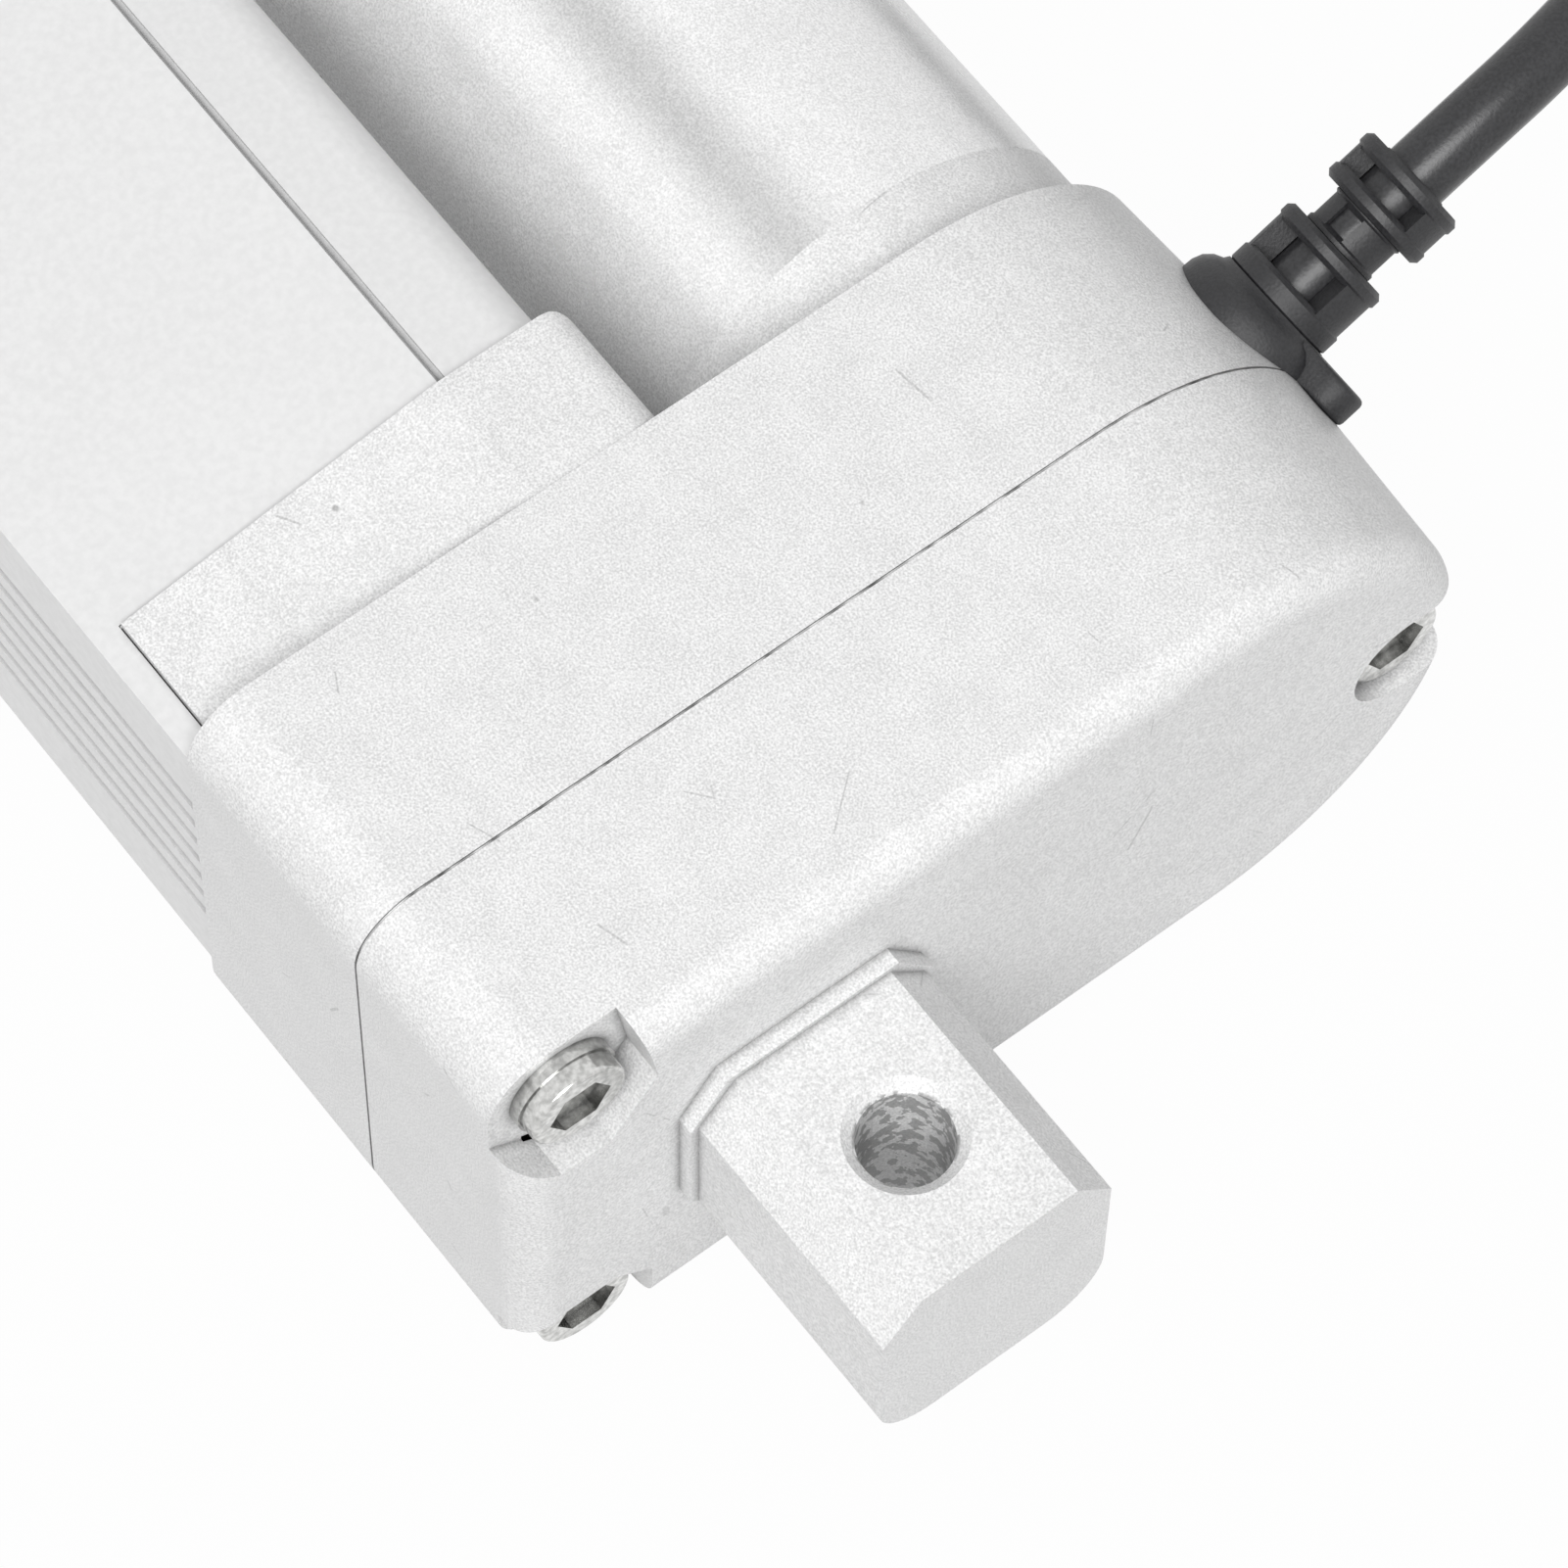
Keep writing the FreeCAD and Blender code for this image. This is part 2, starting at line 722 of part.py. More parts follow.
# Gear housing: front half of the gearbox with the collar and the motor ring
def make_collar():
    collar = tube_prism(side_y, collar_half_side, collar_shoulder_y, collar_top_z,
                        collar_right_y, collar_r, front_face_x - over, collar_front_x)
    corner_x = collar_front_x - collar_lip_right
    corner_y = collar_right_y - collar_lip_right
    corner = block(corner_x, collar_front_x + over, corner_y, collar_right_y + over, -half_h, half_h)
    corner = corner.cut(rod_along_z(collar_lip_right, corner_x, corner_y, -half_h - over, half_h + over))
    return collar.cut(corner).cut(tongue_room(front_face_x))


def tongue_room(x0):
    """The collar is open on the narrow side, where the tube's ribbed wall runs to the block."""
    return block(x0, tube_start_x + over, side_y - over, tube_side_y + tube_wall, -half_h, half_h)


def housing_holes():
    """Holes through the front wall: bearing, axle, motor, screws and wires."""
    holes = [
        rod_along_x(bearing_r + seat_gap, bearing_rear_x - circlip_t - 2 * over, bearing_front_x),
        rod_along_x(bearing_r + circlip_depth, bearing_rear_x - circlip_t - seat_gap,
                    bearing_rear_x - seat_gap),
        rod_along_x(bearing_r - shoulder_reach, bearing_front_x - over, front_face_x + over),
        rod_along_x(axle_r + seat_gap, idler_gear_x, front_inner_x + axle_seat, idler_y),
        rod_along_x(bush_r + bush_hole_gap, front_inner_x - over, front_face_x + over, motor_y),
    ]
    for z in (motor_screw_offset, -motor_screw_offset):
        holes.append(rod_along_x(small_screw_r + seat_gap, front_inner_x - over, front_face_x + over,
                                 motor_y, z))
    for y, z in wire_holes:
        holes.append(rod_along_x(wire_hole_r, front_inner_x - over, front_face_x + over, y, z))
    holes += channels(small_screw_r + seat_gap, front_inner_x - over, collar_front_x + over)
    holes += cover_screw_holes(housing_rear_x - over, notch_floor_x + cover_screw_len + blind_end)
    holes.append(at_relief(rod_along_y(relief_bore_r + seat_gap, relief_x, entry_y - wire_room, end_y + over)))
    return holes


def make_gear_housing():
    shell = cast_body(housing_rear_x, front_face_x, end_lean_front)
    shell = shell.fuse(make_collar()).fuse(rod_along_x(motor_r, front_face_x - over, ring_front_x, motor_y))
    shell = shell.cut(body_prism(wall, housing_rear_x - over, front_inner_x))
    shell = shell.cut(tube_room(front_face_x, collar_front_x + over))
    shell = shell.cut(rod_along_x(motor_in_r, front_face_x, ring_front_x + over, motor_y))
    shell = fused(shell, cover_posts(post_r, housing_rear_x, post_end_x))
    bearing_boss_x = bearing_rear_x - circlip_t - boss_lead
    shell = shell.fuse(rod_along_x(bearing_r + bearing_boss_wall, bearing_boss_x, front_face_x))
    shell = shell.fuse(rod_along_x(axle_boss_r, idler_end_x + boss_lead, front_face_x, idler_y))
    return cut_all(shell, housing_holes()).removeSplitter()


def make_gasket():
    sheet = body_prism(gasket_inset, part_x, housing_rear_x)
    sheet = sheet.cut(body_prism(wall, part_x - over, housing_rear_x + over))
    sheet = fused(sheet, cover_posts(post_r, part_x, housing_rear_x))
    return cut_all(sheet, cover_screw_holes(part_x - over, housing_rear_x + over)).removeSplitter()


def make_lock_washer(y, z):
    """A split spring washer under the head of a cover screw."""
    ring = ring_along_x(screw_head_r + washer_lip, screw_r + face_gap, cover_seat_x, notch_floor_x, y, z)
    slit = block(cover_seat_x - over, notch_floor_x + over, y, y + screw_head_r + over,
                 z - washer_slit / 2, z + washer_slit / 2)
    return ring.cut(slit)


save("rear_cover", make_rear_cover())
save("gear_housing", make_gear_housing())
save("housing_gasket", make_gasket())
save("rear_cover_screws", [
    make_pan_screw(cover_seat_x, y, z, screw_r, screw_head_r, screw_head_h, notch_floor_x + cover_screw_len)
    for y, z in cover_screw_places])
save("lock_washers", [make_lock_washer(y, z) for y, z in cover_screw_places])


# Outer tube: aluminium extrusion, ribbed on its narrow side, with four screw channels
def make_outer_tube():
    x0 = tube_start_x - over
    x1 = tube_end_x + over
    tube = tube_prism(tube_side_y, tube_half_side, tube_shoulder_y, tube_top_z, tube_right_y,
                      tube_corner_r, tube_start_x, tube_end_x)
    tube = tube.cut(tube_room(x0, x1))
    tongue_end_y = tube_side_y + tube_wall - face_gap
    tongue = block(front_face_x + face_gap, x0 + 2 * over, tube_side_y, tongue_end_y, -half_h, half_h)
    profile = tube_prism(tube_side_y, tube_half_side, tube_shoulder_y, tube_top_z, tube_right_y,
                         tube_corner_r, front_face_x, tube_end_x)
    tube = tube.fuse(tongue.common(profile))
    x0 = front_face_x
    tube = cut_all(tube, channels(small_screw_r + seat_gap, x0, x1))
    for i in range(rib_count):
        z = rib_pitch * (i - (rib_count - 1) / 2)
        tube = tube.cut(block(x0, x1, tube_side_y - over, tube_side_y + rib_groove_d,
                              z - rib_groove_w / 2, z + rib_groove_w / 2))
    half = top_groove_w / 2
    shallow = tube_top_z - top_groove_d / 2
    groove = polygon_prism([
        (tube_shoulder_y - half, tube_top_z + over),
        (tube_shoulder_y - half, shallow),
        (tube_shoulder_y, tube_top_z - top_groove_d),
        (tube_shoulder_y + half, shallow),
        (tube_shoulder_y + half, tube_top_z + over),
    ], x0, x1)
    return tube.cut(groove).cut(mirrored(groove)).removeSplitter()


def make_tube_seal():
    inset = tube_seal_inset
    seal = tube_prism(tube_side_y + inset, tube_half_side - inset, tube_shoulder_y, tube_top_z - inset,
                      tube_right_y - inset, tube_corner_r - inset, collar_front_x, tube_start_x)
    seal = seal.cut(tube_room(collar_front_x - over, tube_start_x + over)).cut(tongue_room(front_face_x))
    return cut_all(seal, channels(small_screw_r + seat_gap, collar_front_x - over, tube_start_x + over))


save("outer_tube", make_outer_tube())
save("tube_seal", make_tube_seal())
save("tube_screws", [
    make_pan_screw(front_inner_x, y, z, small_screw_r, small_head_r, small_head_h,
                   tube_start_x + tube_screw_grip)
    for y, z in channel_places])


# Front cap with its guide bush and wiper
cap_seat_x = cap_front_x - small_head_h - head_room
wiper_r = guide_r - face_gap


def make_front_cap():
    cap = tube_prism(side_y, collar_half_side, collar_shoulder_y, half_h, collar_right_y,
                     collar_r, tube_end_x, cap_front_x)
    cap = cap.makeFillet(cap_edge_r, edges_at(cap, cap_front_x))
    cap = cap.cut(rod_along_x(guide_r + seat_gap, tube_end_x - over, guide_end_x))
    cap = cap.cut(rod_along_x(rod_r + wiper_hole_gap, guide_end_x - over, cap_front_x + over))
    cap = cap.cut(rod_along_x(wiper_r + seat_gap, wiper_x, wiper_x + wiper_len))
    cap = cut_all(cap, channels(small_screw_r + seat_gap, tube_end_x - over, cap_front_x + over))
    return cut_all(cap, channels(small_head_r + head_room, cap_seat_x, cap_front_x + over)).removeSplitter()


def make_cap_screw(y, z):
    """A screw turned to face the front, its head in the cap's counterbore."""
    grip = cap_seat_x - tube_end_x + cap_screw_grip
    screw = make_pan_screw(0, y, z, small_screw_r, small_head_r, small_head_h, grip)
    screw.rotate(V(0, y, z), V(0, 0, 1), 180)
    screw.translate(V(cap_seat_x, 0, 0))
    return screw


save("front_cap", make_front_cap())
save("front_cap_screws", [make_cap_screw(y, z) for y, z in channel_places])
save("rod_guide_bush", ring_along_x(guide_r, rod_r + run_gap, tube_end_x + face_gap, guide_end_x))
save("rod_wiper", ring_along_x(wiper_r, rod_r + wiper_gap, wiper_x, wiper_x + wiper_len))


# Rod, eye and nut
pin_inner_z = thread_r + pin_clear
pin_outer_z = rod_r - pin_short


def make_rod():
    rod = ring_along_x(rod_r, rod_bore_r, rod_rear_x, eye_x)
    rod = rod.cut(rod_along_z(pin_r + seat_gap, nut_pin_x, 0, -rod_r - over, rod_r + over))
    return rod.cut(rod_along_y(pin_r + seat_gap, eye_pin_x, -rod_r - over, rod_r + over))


def make_rod_eye():
    tip_x = eye_hole_x + eye_end
    eye = rod_along_x(rod_r, eye_x, tip_x)
    eye = eye.makeFillet(eye_edge_r, edges_at(eye, tip_x))
    eye = eye.fuse(rod_along_x(rod_bore_r - seat_gap, eye_x - eye_spigot_len, eye_x + over))
    flat = block(tip_x - eye_flat_len, tip_x + over, -rod_r - over, rod_r + over, eye_half_t, rod_r + over)
    eye = eye.cut(flat).cut(mirrored(flat))
    eye = eye.cut(rod_along_z(mount_hole_r, eye_hole_x, 0, -rod_r - over, rod_r + over))
    eye = eye.cut(rod_along_y(pin_r + seat_gap, eye_pin_x, -rod_r - over, rod_r + over))
    return eye.removeSplitter()


def make_nut():
    nut = rod_along_x(nut_r, nut_x, rod_rear_x)
    pad = block(nut_x, rod_rear_x, -nut_pad_half_w, nut_pad_half_w, -half_h, half_h)
    nut = nut.fuse(pad.common(tube_inside(nut_pad_gap, nut_x, rod_rear_x)))
    cam_x = nut_x + cam_start
    nut = nut.fuse(block(cam_x, cam_x + cam_len, cam_top_y, 0, -cam_half_w, cam_half_w))
    spigot_end_x = rod_rear_x + nut_spigot_len
    nut = nut.fuse(rod_along_x(rod_bore_r - seat_gap, rod_rear_x - over, spigot_end_x))
    nut = nut.cut(rod_along_x(thread_r + run_gap, nut_x - over, spigot_end_x + over))
    hole = rod_along_z(pin_r + seat_gap, nut_pin_x, 0, pin_inner_z, rod_r + over)
    return nut.cut(hole).cut(mirrored(hole)).removeSplitter()


nut_pin = rod_along_z(pin_r, nut_pin_x, 0, pin_inner_z, pin_outer_z)
eye_pin = rod_along_y(pin_r, eye_pin_x, -pin_outer_z, pin_outer_z)
save("inner_rod", make_rod())
save("rod_end_eye", make_rod_eye())
save("drive_nut", make_nut())
save("rod_pins", [nut_pin, mirrored(nut_pin), eye_pin])


# Lead screw: the thread is a row of ridges, one for each lead
def make_lead_screw():
    outline = [(bearing_front_x, 0.0), (bearing_front_x, thread_r)]
    crest = lead * crest_share
    flank = lead * flank_share
    turns = int((tip_bush_x - thread_start_x) / lead)
    for i in range(turns):
        x = thread_start_x + i * lead
        outline.append((x, thread_r))
        outline.append((x + flank, thread_root_r))
        outline.append((x + lead - crest - flank, thread_root_r))
        outline.append((x + lead - crest, thread_r))
    screw_tip_x = tip_bush_x + tip_bush_len + tip_stub
    outline += [(tip_bush_x, thread_r), (tip_bush_x, thread_root_r), (screw_tip_x, thread_root_r),
                (screw_tip_x, 0.0)]
    corners = [V(x, r, 0) for x, r in outline]
    face = Part.Face(Part.makePolygon(corners + corners[:1]))
    screw = face.revolve(V(0, 0, 0), V(1, 0, 0), 360)
    screw = screw.fuse(rod_along_x(bearing_bore_r - seat_gap, screw_gear_x, bearing_front_x + over))
    stub_x = rear_inner_x - rear_bush_sink + stub_end_gap
    screw = screw.fuse(rod_along_x(screw_stub_r, stub_x, screw_gear_x + over))
    groove = ring_along_x(bearing_bore_r + over, bearing_bore_r - gear_clip_groove_d,
                          gear_clip_x, gear_clip_x + gear_clip_groove_w)
    return screw.cut(groove).removeSplitter()


def make_screw_gear():
    gear = gear_prism(screw_module, screw_teeth, -pinion_shift, math.pi / screw_teeth,
                      screw_gear_x, screw_gear_x + screw_gear_width, 0.0)
    web_r = screw_module * screw_teeth / 2 - gear_rim_t
    gear = gear.cut(ring_along_x(web_r, gear_hub_r, screw_gear_x - gear_web_depth,
                                 screw_gear_x + gear_web_depth))
    return gear.cut(rod_along_x(bearing_bore_r, screw_gear_x - over, screw_gear_x + screw_gear_width + over))


def make_gear_clip():
    x1 = gear_clip_x + gear_clip_t
    clip = ring_along_x(bearing_bore_r + gear_clip_reach, bearing_bore_r - gear_clip_groove_d + seat_gap,
                        gear_clip_x + seat_gap, x1)
    mouth = block(gear_clip_x, x1 + over, -gear_clip_mouth / 2, gear_clip_mouth / 2, 0, 2 * bearing_bore_r)
    return clip.cut(mouth)


save("lead_screw", make_lead_screw())
save("screw_gear", make_screw_gear())
save("screw_gear_clip", make_gear_clip())
save("screw_spacer", ring_along_x(bearing_bore_r + spacer_wall, bearing_bore_r,
                                  gear_clip_x + gear_clip_groove_w, bearing_rear_x - seat_gap))
save("screw_rear_bush", ring_along_x(rear_bush_r, screw_stub_r + run_gap, rear_inner_x - rear_bush_sink,
                                     screw_gear_x - free_gap))
save("screw_tip_bush", ring_along_x(rod_bore_r - run_gap, thread_root_r + seat_gap, tip_bush_x,
                                    tip_bush_x + tip_bush_len))


# Deep-groove ball bearing that takes the thrust
def make_ring(r_out, r_in):
    track = Part.makeTorus(ball_circle_r, ball_r + ball_play, V(bearing_mid_x, 0, 0), V(1, 0, 0))
    return ring_along_x(r_out, r_in, bearing_rear_x, bearing_front_x).cut(track)


def make_ball(i, r):
    angle = i * 2 * math.pi / ball_count
    centre = V(bearing_mid_x, ball_circle_r * math.cos(angle), ball_circle_r * math.sin(angle))
    return Part.makeSphere(r, centre)


def make_cage():
    cage = ring_along_x(ball_circle_r + cage_half_t, ball_circle_r - cage_half_t,
                        bearing_mid_x - cage_half_w, bearing_mid_x + cage_half_w)
    return cut_all(cage, [make_ball(i, ball_r + ball_play) for i in range(ball_count)])


def make_circlip():
    x0 = bearing_rear_x - circlip_t
    clip = ring_along_x(bearing_r + circlip_depth - seat_gap, bearing_r - circlip_reach,
                        x0, bearing_rear_x - 2 * seat_gap)
    return clip.cut(block(x0 - over, bearing_rear_x, -circlip_gap_w / 2, circlip_gap_w / 2, 0, 2 * bearing_r))


save("bearing_outer_ring", make_ring(bearing_r, ball_circle_r + race_half_gap))
save("bearing_inner_ring", make_ring(ball_circle_r - race_half_gap, bearing_bore_r))
save("bearing_balls", [make_ball(i, ball_r) for i in range(ball_count)])
save("bearing_cage", make_cage())
save("bearing_circlip", make_circlip())


# Compound idler on its axle
def make_idler_pinion():
    pinion = gear_prism(screw_module, idler_pinion_teeth, pinion_shift, math.pi,
                        screw_gear_x - free_gap, idler_gear_x, idler_y)
    pinion = pinion.fuse(rod_along_x(idler_hub_r, idler_gear_x - over, idler_end_x, idler_y))
    return pinion.cut(rod_along_x(axle_r + run_gap, rear_inner_x, idler_end_x + over, idler_y))


save("idler_pinion", make_idler_pinion())
save("idler_gear", gear_prism(motor_module, idler_teeth, -pinion_shift, math.pi / idler_teeth,
                              idler_gear_x, idler_end_x, idler_y)
     .cut(rod_along_x(idler_hub_r + seat_gap, idler_gear_x - over, idler_end_x + over, idler_y)))
save("idler_axle", rod_along_x(axle_r, rear_inner_x - axle_seat + face_gap,
                               front_inner_x + axle_seat - face_gap, idler_y))


# Motor: fixed pieces
def make_motor_plate():
    plate = rod_along_x(plate_r, front_face_x, motor_plate_x, motor_y)
    bush_seat = rod_along_x(bush_r + seat_gap, front_face_x - over, front_face_x + bush_len + face_gap, motor_y)
    plate = plate.cut(bush_seat)
    plate = plate.cut(rod_along_x(shaft_r + shaft_hole_gap, front_face_x, motor_plate_x + over, motor_y))
    for z in (motor_screw_offset, -motor_screw_offset):
        plate = plate.cut(rod_along_x(small_screw_r + seat_gap, front_face_x - over, motor_plate_x - over,
                                      motor_y, z))
    for z in (motor_wire_z, -motor_wire_z):
        plate = plate.cut(rod_along_x(wire_hole_r, front_face_x - over, motor_plate_x + over, motor_wire_y, z))
    return plate


def make_motor_end_cap():
    cap = rod_along_x(motor_r, motor_end_x, motor_cap_x, motor_y)
    cap = cap.makeFillet(motor_cap_edge_r, edges_at(cap, motor_cap_x))
    cap = cap.fuse(rod_along_x(bush_r + motor_cap_hub_wall, motor_end_x, motor_cap_x + motor_cap_hub, motor_y))
    cap = cap.fuse(ring_along_x(plate_r, plate_r - motor_cap_rim_t, motor_end_x - motor_cap_rim,
                                motor_end_x + over, motor_y))
    bush_seat = rod_along_x(bush_r + seat_gap, motor_end_x - over, motor_end_x + bush_len + face_gap, motor_y)
    return cap.cut(bush_seat).removeSplitter()


def make_magnet(start_angle):
    x0 = armature_x - magnet_past_core
    x1 = armature_end_x + magnet_past_core
    arc = ring_along_x(plate_r, magnet_r, x0, x1, motor_y)
    wedge = [(motor_y, 0.0)]
    for angle in (start_angle - magnet_half_angle, start_angle, start_angle + magnet_half_angle):
        a = math.radians(angle)
        wedge.append((motor_y + 3 * motor_r * math.cos(a), 3 * motor_r * math.sin(a)))
    return arc.common(polygon_prism(wedge, x0 - over, x1 + over))


def make_brush_plate():
    plate = ring_along_x(plate_r, commutator_r + over, motor_plate_x, motor_plate_x + brush_plate_t, motor_y)
    half_w = brush_w / 2 + face_gap
    room_z = brush_end_z + brush_spring_len + face_gap
    holder = block(motor_plate_x + over, brush_x + brush_w + brush_box_wall, motor_y - half_w - brush_box_wall,
                   motor_y + half_w + brush_box_wall, commutator_r + 2 * run_gap, room_z + brush_box_wall)
    slot = block(brush_x - face_gap, brush_x + brush_w + face_gap, motor_y - half_w, motor_y + half_w,
                 commutator_r, room_z)
    plate = plate.fuse(holder).fuse(mirrored(holder)).cut(slot).cut(mirrored(slot))
    for z in (motor_wire_z, -motor_wire_z):
        plate = plate.cut(rod_along_x(wire_hole_r, motor_plate_x - over, motor_plate_x + 2 * over,
                                      motor_wire_y, z))
    return plate.removeSplitter()


def make_brush_spring():
    x = brush_x + brush_w / 2
    spring = rod_along_z(brush_spring_r, x, motor_y, brush_end_z, brush_end_z + brush_spring_len)
    return spring.cut(rod_along_z(brush_spring_bore_r, x, motor_y, brush_end_z - over,
                                  brush_end_z + brush_spring_len + over))


brush = block(brush_x, brush_x + brush_w, motor_y - brush_w / 2, motor_y + brush_w / 2,
              commutator_r + run_gap, brush_end_z)
brush_spring = make_brush_spring()
save("motor_tube", ring_along_x(motor_r, motor_in_r, ring_front_x, motor_end_x, motor_y))
save("motor_front_plate", make_motor_plate())
save("motor_end_cap", make_motor_end_cap())
save("motor_magnets", [make_magnet(0), make_magnet(180)])
save("motor_bushes", [
    ring_along_x(bush_r, shaft_r + run_gap, front_face_x, front_face_x + bush_len, motor_y),
    ring_along_x(bush_r, shaft_r + run_gap, motor_end_x, motor_end_x + bush_len, motor_y)])
save("motor_screws", [
    make_pan_screw(front_inner_x, motor_y, z, small_screw_r, small_head_r, small_head_h,
                   motor_plate_x - motor_screw_end)
    for z in (motor_screw_offset, -motor_screw_offset)])
save("brush_plate", make_brush_plate())
save("motor_brushes", [brush, mirrored(brush)])
save("brush_springs", [brush_spring, mirrored(brush_spring)])


# Motor: the rotor
def make_armature_core():
    core = ring_along_x(armature_r, shaft_r, armature_x, armature_end_x, motor_y)
    slot = block(armature_x - over, armature_end_x + over, motor_y + slot_floor_r,
                 motor_y + armature_r + over, -slot_half_w, slot_half_w)
    return cut_all(core, turned_about_motor(slot, armature_poles, 0))


def make_windings():
    bar = block(armature_x - 2 * over, armature_end_x + 2 * over, motor_y + slot_floor_r + face_gap,
                motor_y + armature_r - coil_end_in, face_gap - slot_half_w, slot_half_w - face_gap)
    coils = []
    for x0 in (armature_x - face_gap - coil_end_len, armature_end_x + face_gap):
        coils.append(ring_along_x(armature_r - coil_end_in, shaft_r + shaft_hole_gap,
                                  x0, x0 + coil_end_len, motor_y))
    return fused(coils[0], coils[1:] + turned_about_motor(bar, armature_poles, 0)).removeSplitter()


def make_commutator():
    x1 = commutator_x + commutator_len
    body = ring_along_x(commutator_r, shaft_r, commutator_x, x1, motor_y)
    slit = block(commutator_x - over, x1 - over, motor_y + commutator_r - over, motor_y + commutator_r + over,
                 -commutator_slit / 2, commutator_slit / 2)
    return cut_all(body, turned_about_motor(slit, armature_poles, 180 / armature_poles))


def turned_about_motor(shape, count, first_angle):
    copies = []
    for i in range(count):
        copy = shape.copy()
        copy.rotate(V(0, motor_y, 0), V(1, 0, 0), first_angle + 360 * i / count)
        copies.append(copy)
    return copies


save("motor_shaft", rod_along_x(shaft_r, pinion_x - shaft_past_pinion,
                                motor_end_x + bush_len - free_gap, motor_y))
save("motor_pinion", gear_prism(motor_module, pinion_teeth, pinion_shift, math.pi,
                                pinion_x, pinion_end_x, motor_y)
     .cut(rod_along_x(shaft_r, pinion_x - over, pinion_end_x + over, motor_y)))
save("armature_core", make_armature_core())
save("armature_windings", make_windings())
save("commutator", make_commutator())


# Limit switches on their board, along the narrow side of the tube
cam_rear_x = nut_x + cam_start
rear_plunger_x = cam_rear_x - plunger_gap - plunger_r
front_plunger_x = cam_rear_x + cam_len + stroke + plunger_gap + plunger_r


def make_switch(plunger_x):
    x0 = plunger_x - plunger_from_end
    body = block(x0, x0 + switch_len, board_top_y, switch_top_y, -switch_half_w, switch_half_w)
    well = 2 * plunger_travel + plunger_rise
    return body.cut(rod_along_y(plunger_r + run_gap, plunger_x, switch_top_y - well, switch_top_y + over))


def make_plunger(x):
    inner_y = switch_top_y - plunger_travel - plunger_rise / 2
    return rod_along_y(plunger_r, x, inner_y, switch_top_y + plunger_rise)


diode_x = rear_plunger_x - plunger_from_end + switch_len + diode_len
save("limit_switch_board", block(board_x, front_plunger_x + switch_len, board_back_y, board_top_y,
                                 -board_half_w, board_half_w))
save("rear_limit_switch", make_switch(rear_plunger_x))
save("front_limit_switch", make_switch(front_plunger_x))
save("rear_switch_plunger", make_plunger(rear_plunger_x))
save("front_switch_plunger", make_plunger(front_plunger_x))
save("limit_diodes", [
    rod_along_x(diode_r, diode_x, diode_x + diode_len, board_top_y + diode_r, z)
    for z in (-diode_half_pitch, diode_half_pitch)])

# Inner wires: from the board and from the motor to the cable entry
wire_plane_x = front_inner_x - small_head_h - 2 * wire_r
wire_top_z = half_h - wall - 2 * wire_r
switch_route = [
    V(board_x - face_gap, switch_wire_y - 0.4, 0),
    V(front_inner_x - 1.0, switch_wire_y - 0.2, 0.4),
    V(wire_plane_x + 0.5, switch_wire_y + 1.2, 7.5),
    V(wire_plane_x, corner_screw_y + 9.5, wire_top_z - 0.4),
    V(wire_plane_x, idler_y - 6.0, wire_top_z),
    V(wire_plane_x, motor_y - 2.0, wire_top_z - 0.3),
    relief_point(relief_x + 0.4, entry_r - 2.6, 3.4),
    relief_point(relief_x - 0.7, entry_r, 1.1),
]


def motor_route(sign):
    return [
        V(motor_plate_x + 0.8, motor_wire_y, sign * motor_wire_z),
        V(front_inner_x - 0.6, motor_wire_y + 0.1, sign * motor_wire_z),
        relief_point(relief_x + 2.9, entry_r - 2.6, sign * 1.7 - 0.3),
        relief_point(relief_x + 0.9, entry_r, sign * 0.85 - 0.5),
    ]


save("switch_wires", sweep_round(switch_route, wire_r))
save("motor_wires", [sweep_round(motor_route(1), wire_r), sweep_round(motor_route(-1), wire_r)])


# Strain relief: a rubber boot of segments that bends with the cable
def make_strain_relief():
    y0 = end_y - flange_seat
    boot = rod_along_y(flange_r, relief_x, y0, end_y + flange_t)
    tab = block(relief_x - tab_len, relief_x, y0, end_y + tab_t, -tab_half_w, tab_half_w)
    boot = boot.fuse(tab)
    boot = boot.fuse(rod_along_y(relief_bore_r, relief_x, entry_y + free_gap, end_y + flange_t))
    y = end_y + flange_t
    neck = rod_along_y(cable_r + boot_neck_wall, relief_x, y, relief_end_y)
    window_y = end_y + neck_window_from_face
    neck_hole = block(relief_x - neck_window_w / 2, relief_x + neck_window_w / 2, window_y,
                      window_y + neck_window, 0, flange_r)
    boot = boot.fuse(neck.cut(neck_hole).cut(mirrored(neck_hole)))
    for r, length, neck_len, window in boot_segments:
        y += neck_len
        segment = rod_along_y(r, relief_x, y, y + length)
        window_y = y + (length - window) / 2
        hole = block(relief_x - r, relief_x + r, window_y, window_y + window, cable_r, r + over)
        boot = boot.fuse(segment.cut(hole).cut(mirrored(hole)))
        y += length
    boot = at_relief(boot.cut(rod_along_y(cable_r, relief_x, entry_y, relief_end_y + over)))
    return largest(boot.cut(outside_of_castings)).removeSplitter()


def make_castings_outside():
    """The round end as the relief's flange meets it, without the flange's own hole."""
    rear = cast_body(part_x, rear_face_x, end_lean_rear)
    front = cast_body(housing_rear_x, front_face_x, end_lean_front)
    whole = rear.fuse(front).fuse(body_prism(0, part_x, housing_rear_x))
    spigot = at_relief(rod_along_y(relief_bore_r, relief_x, entry_y - over, end_y + over))
    return whole.cut(spigot)


outside_of_castings = make_castings_outside()
save("strain_relief", make_strain_relief())
save("cable_jacket_end", at_relief(rod_along_y(cable_r - seat_gap, relief_x, entry_y + jacket_short,
                                               relief_end_y - jacket_short)))

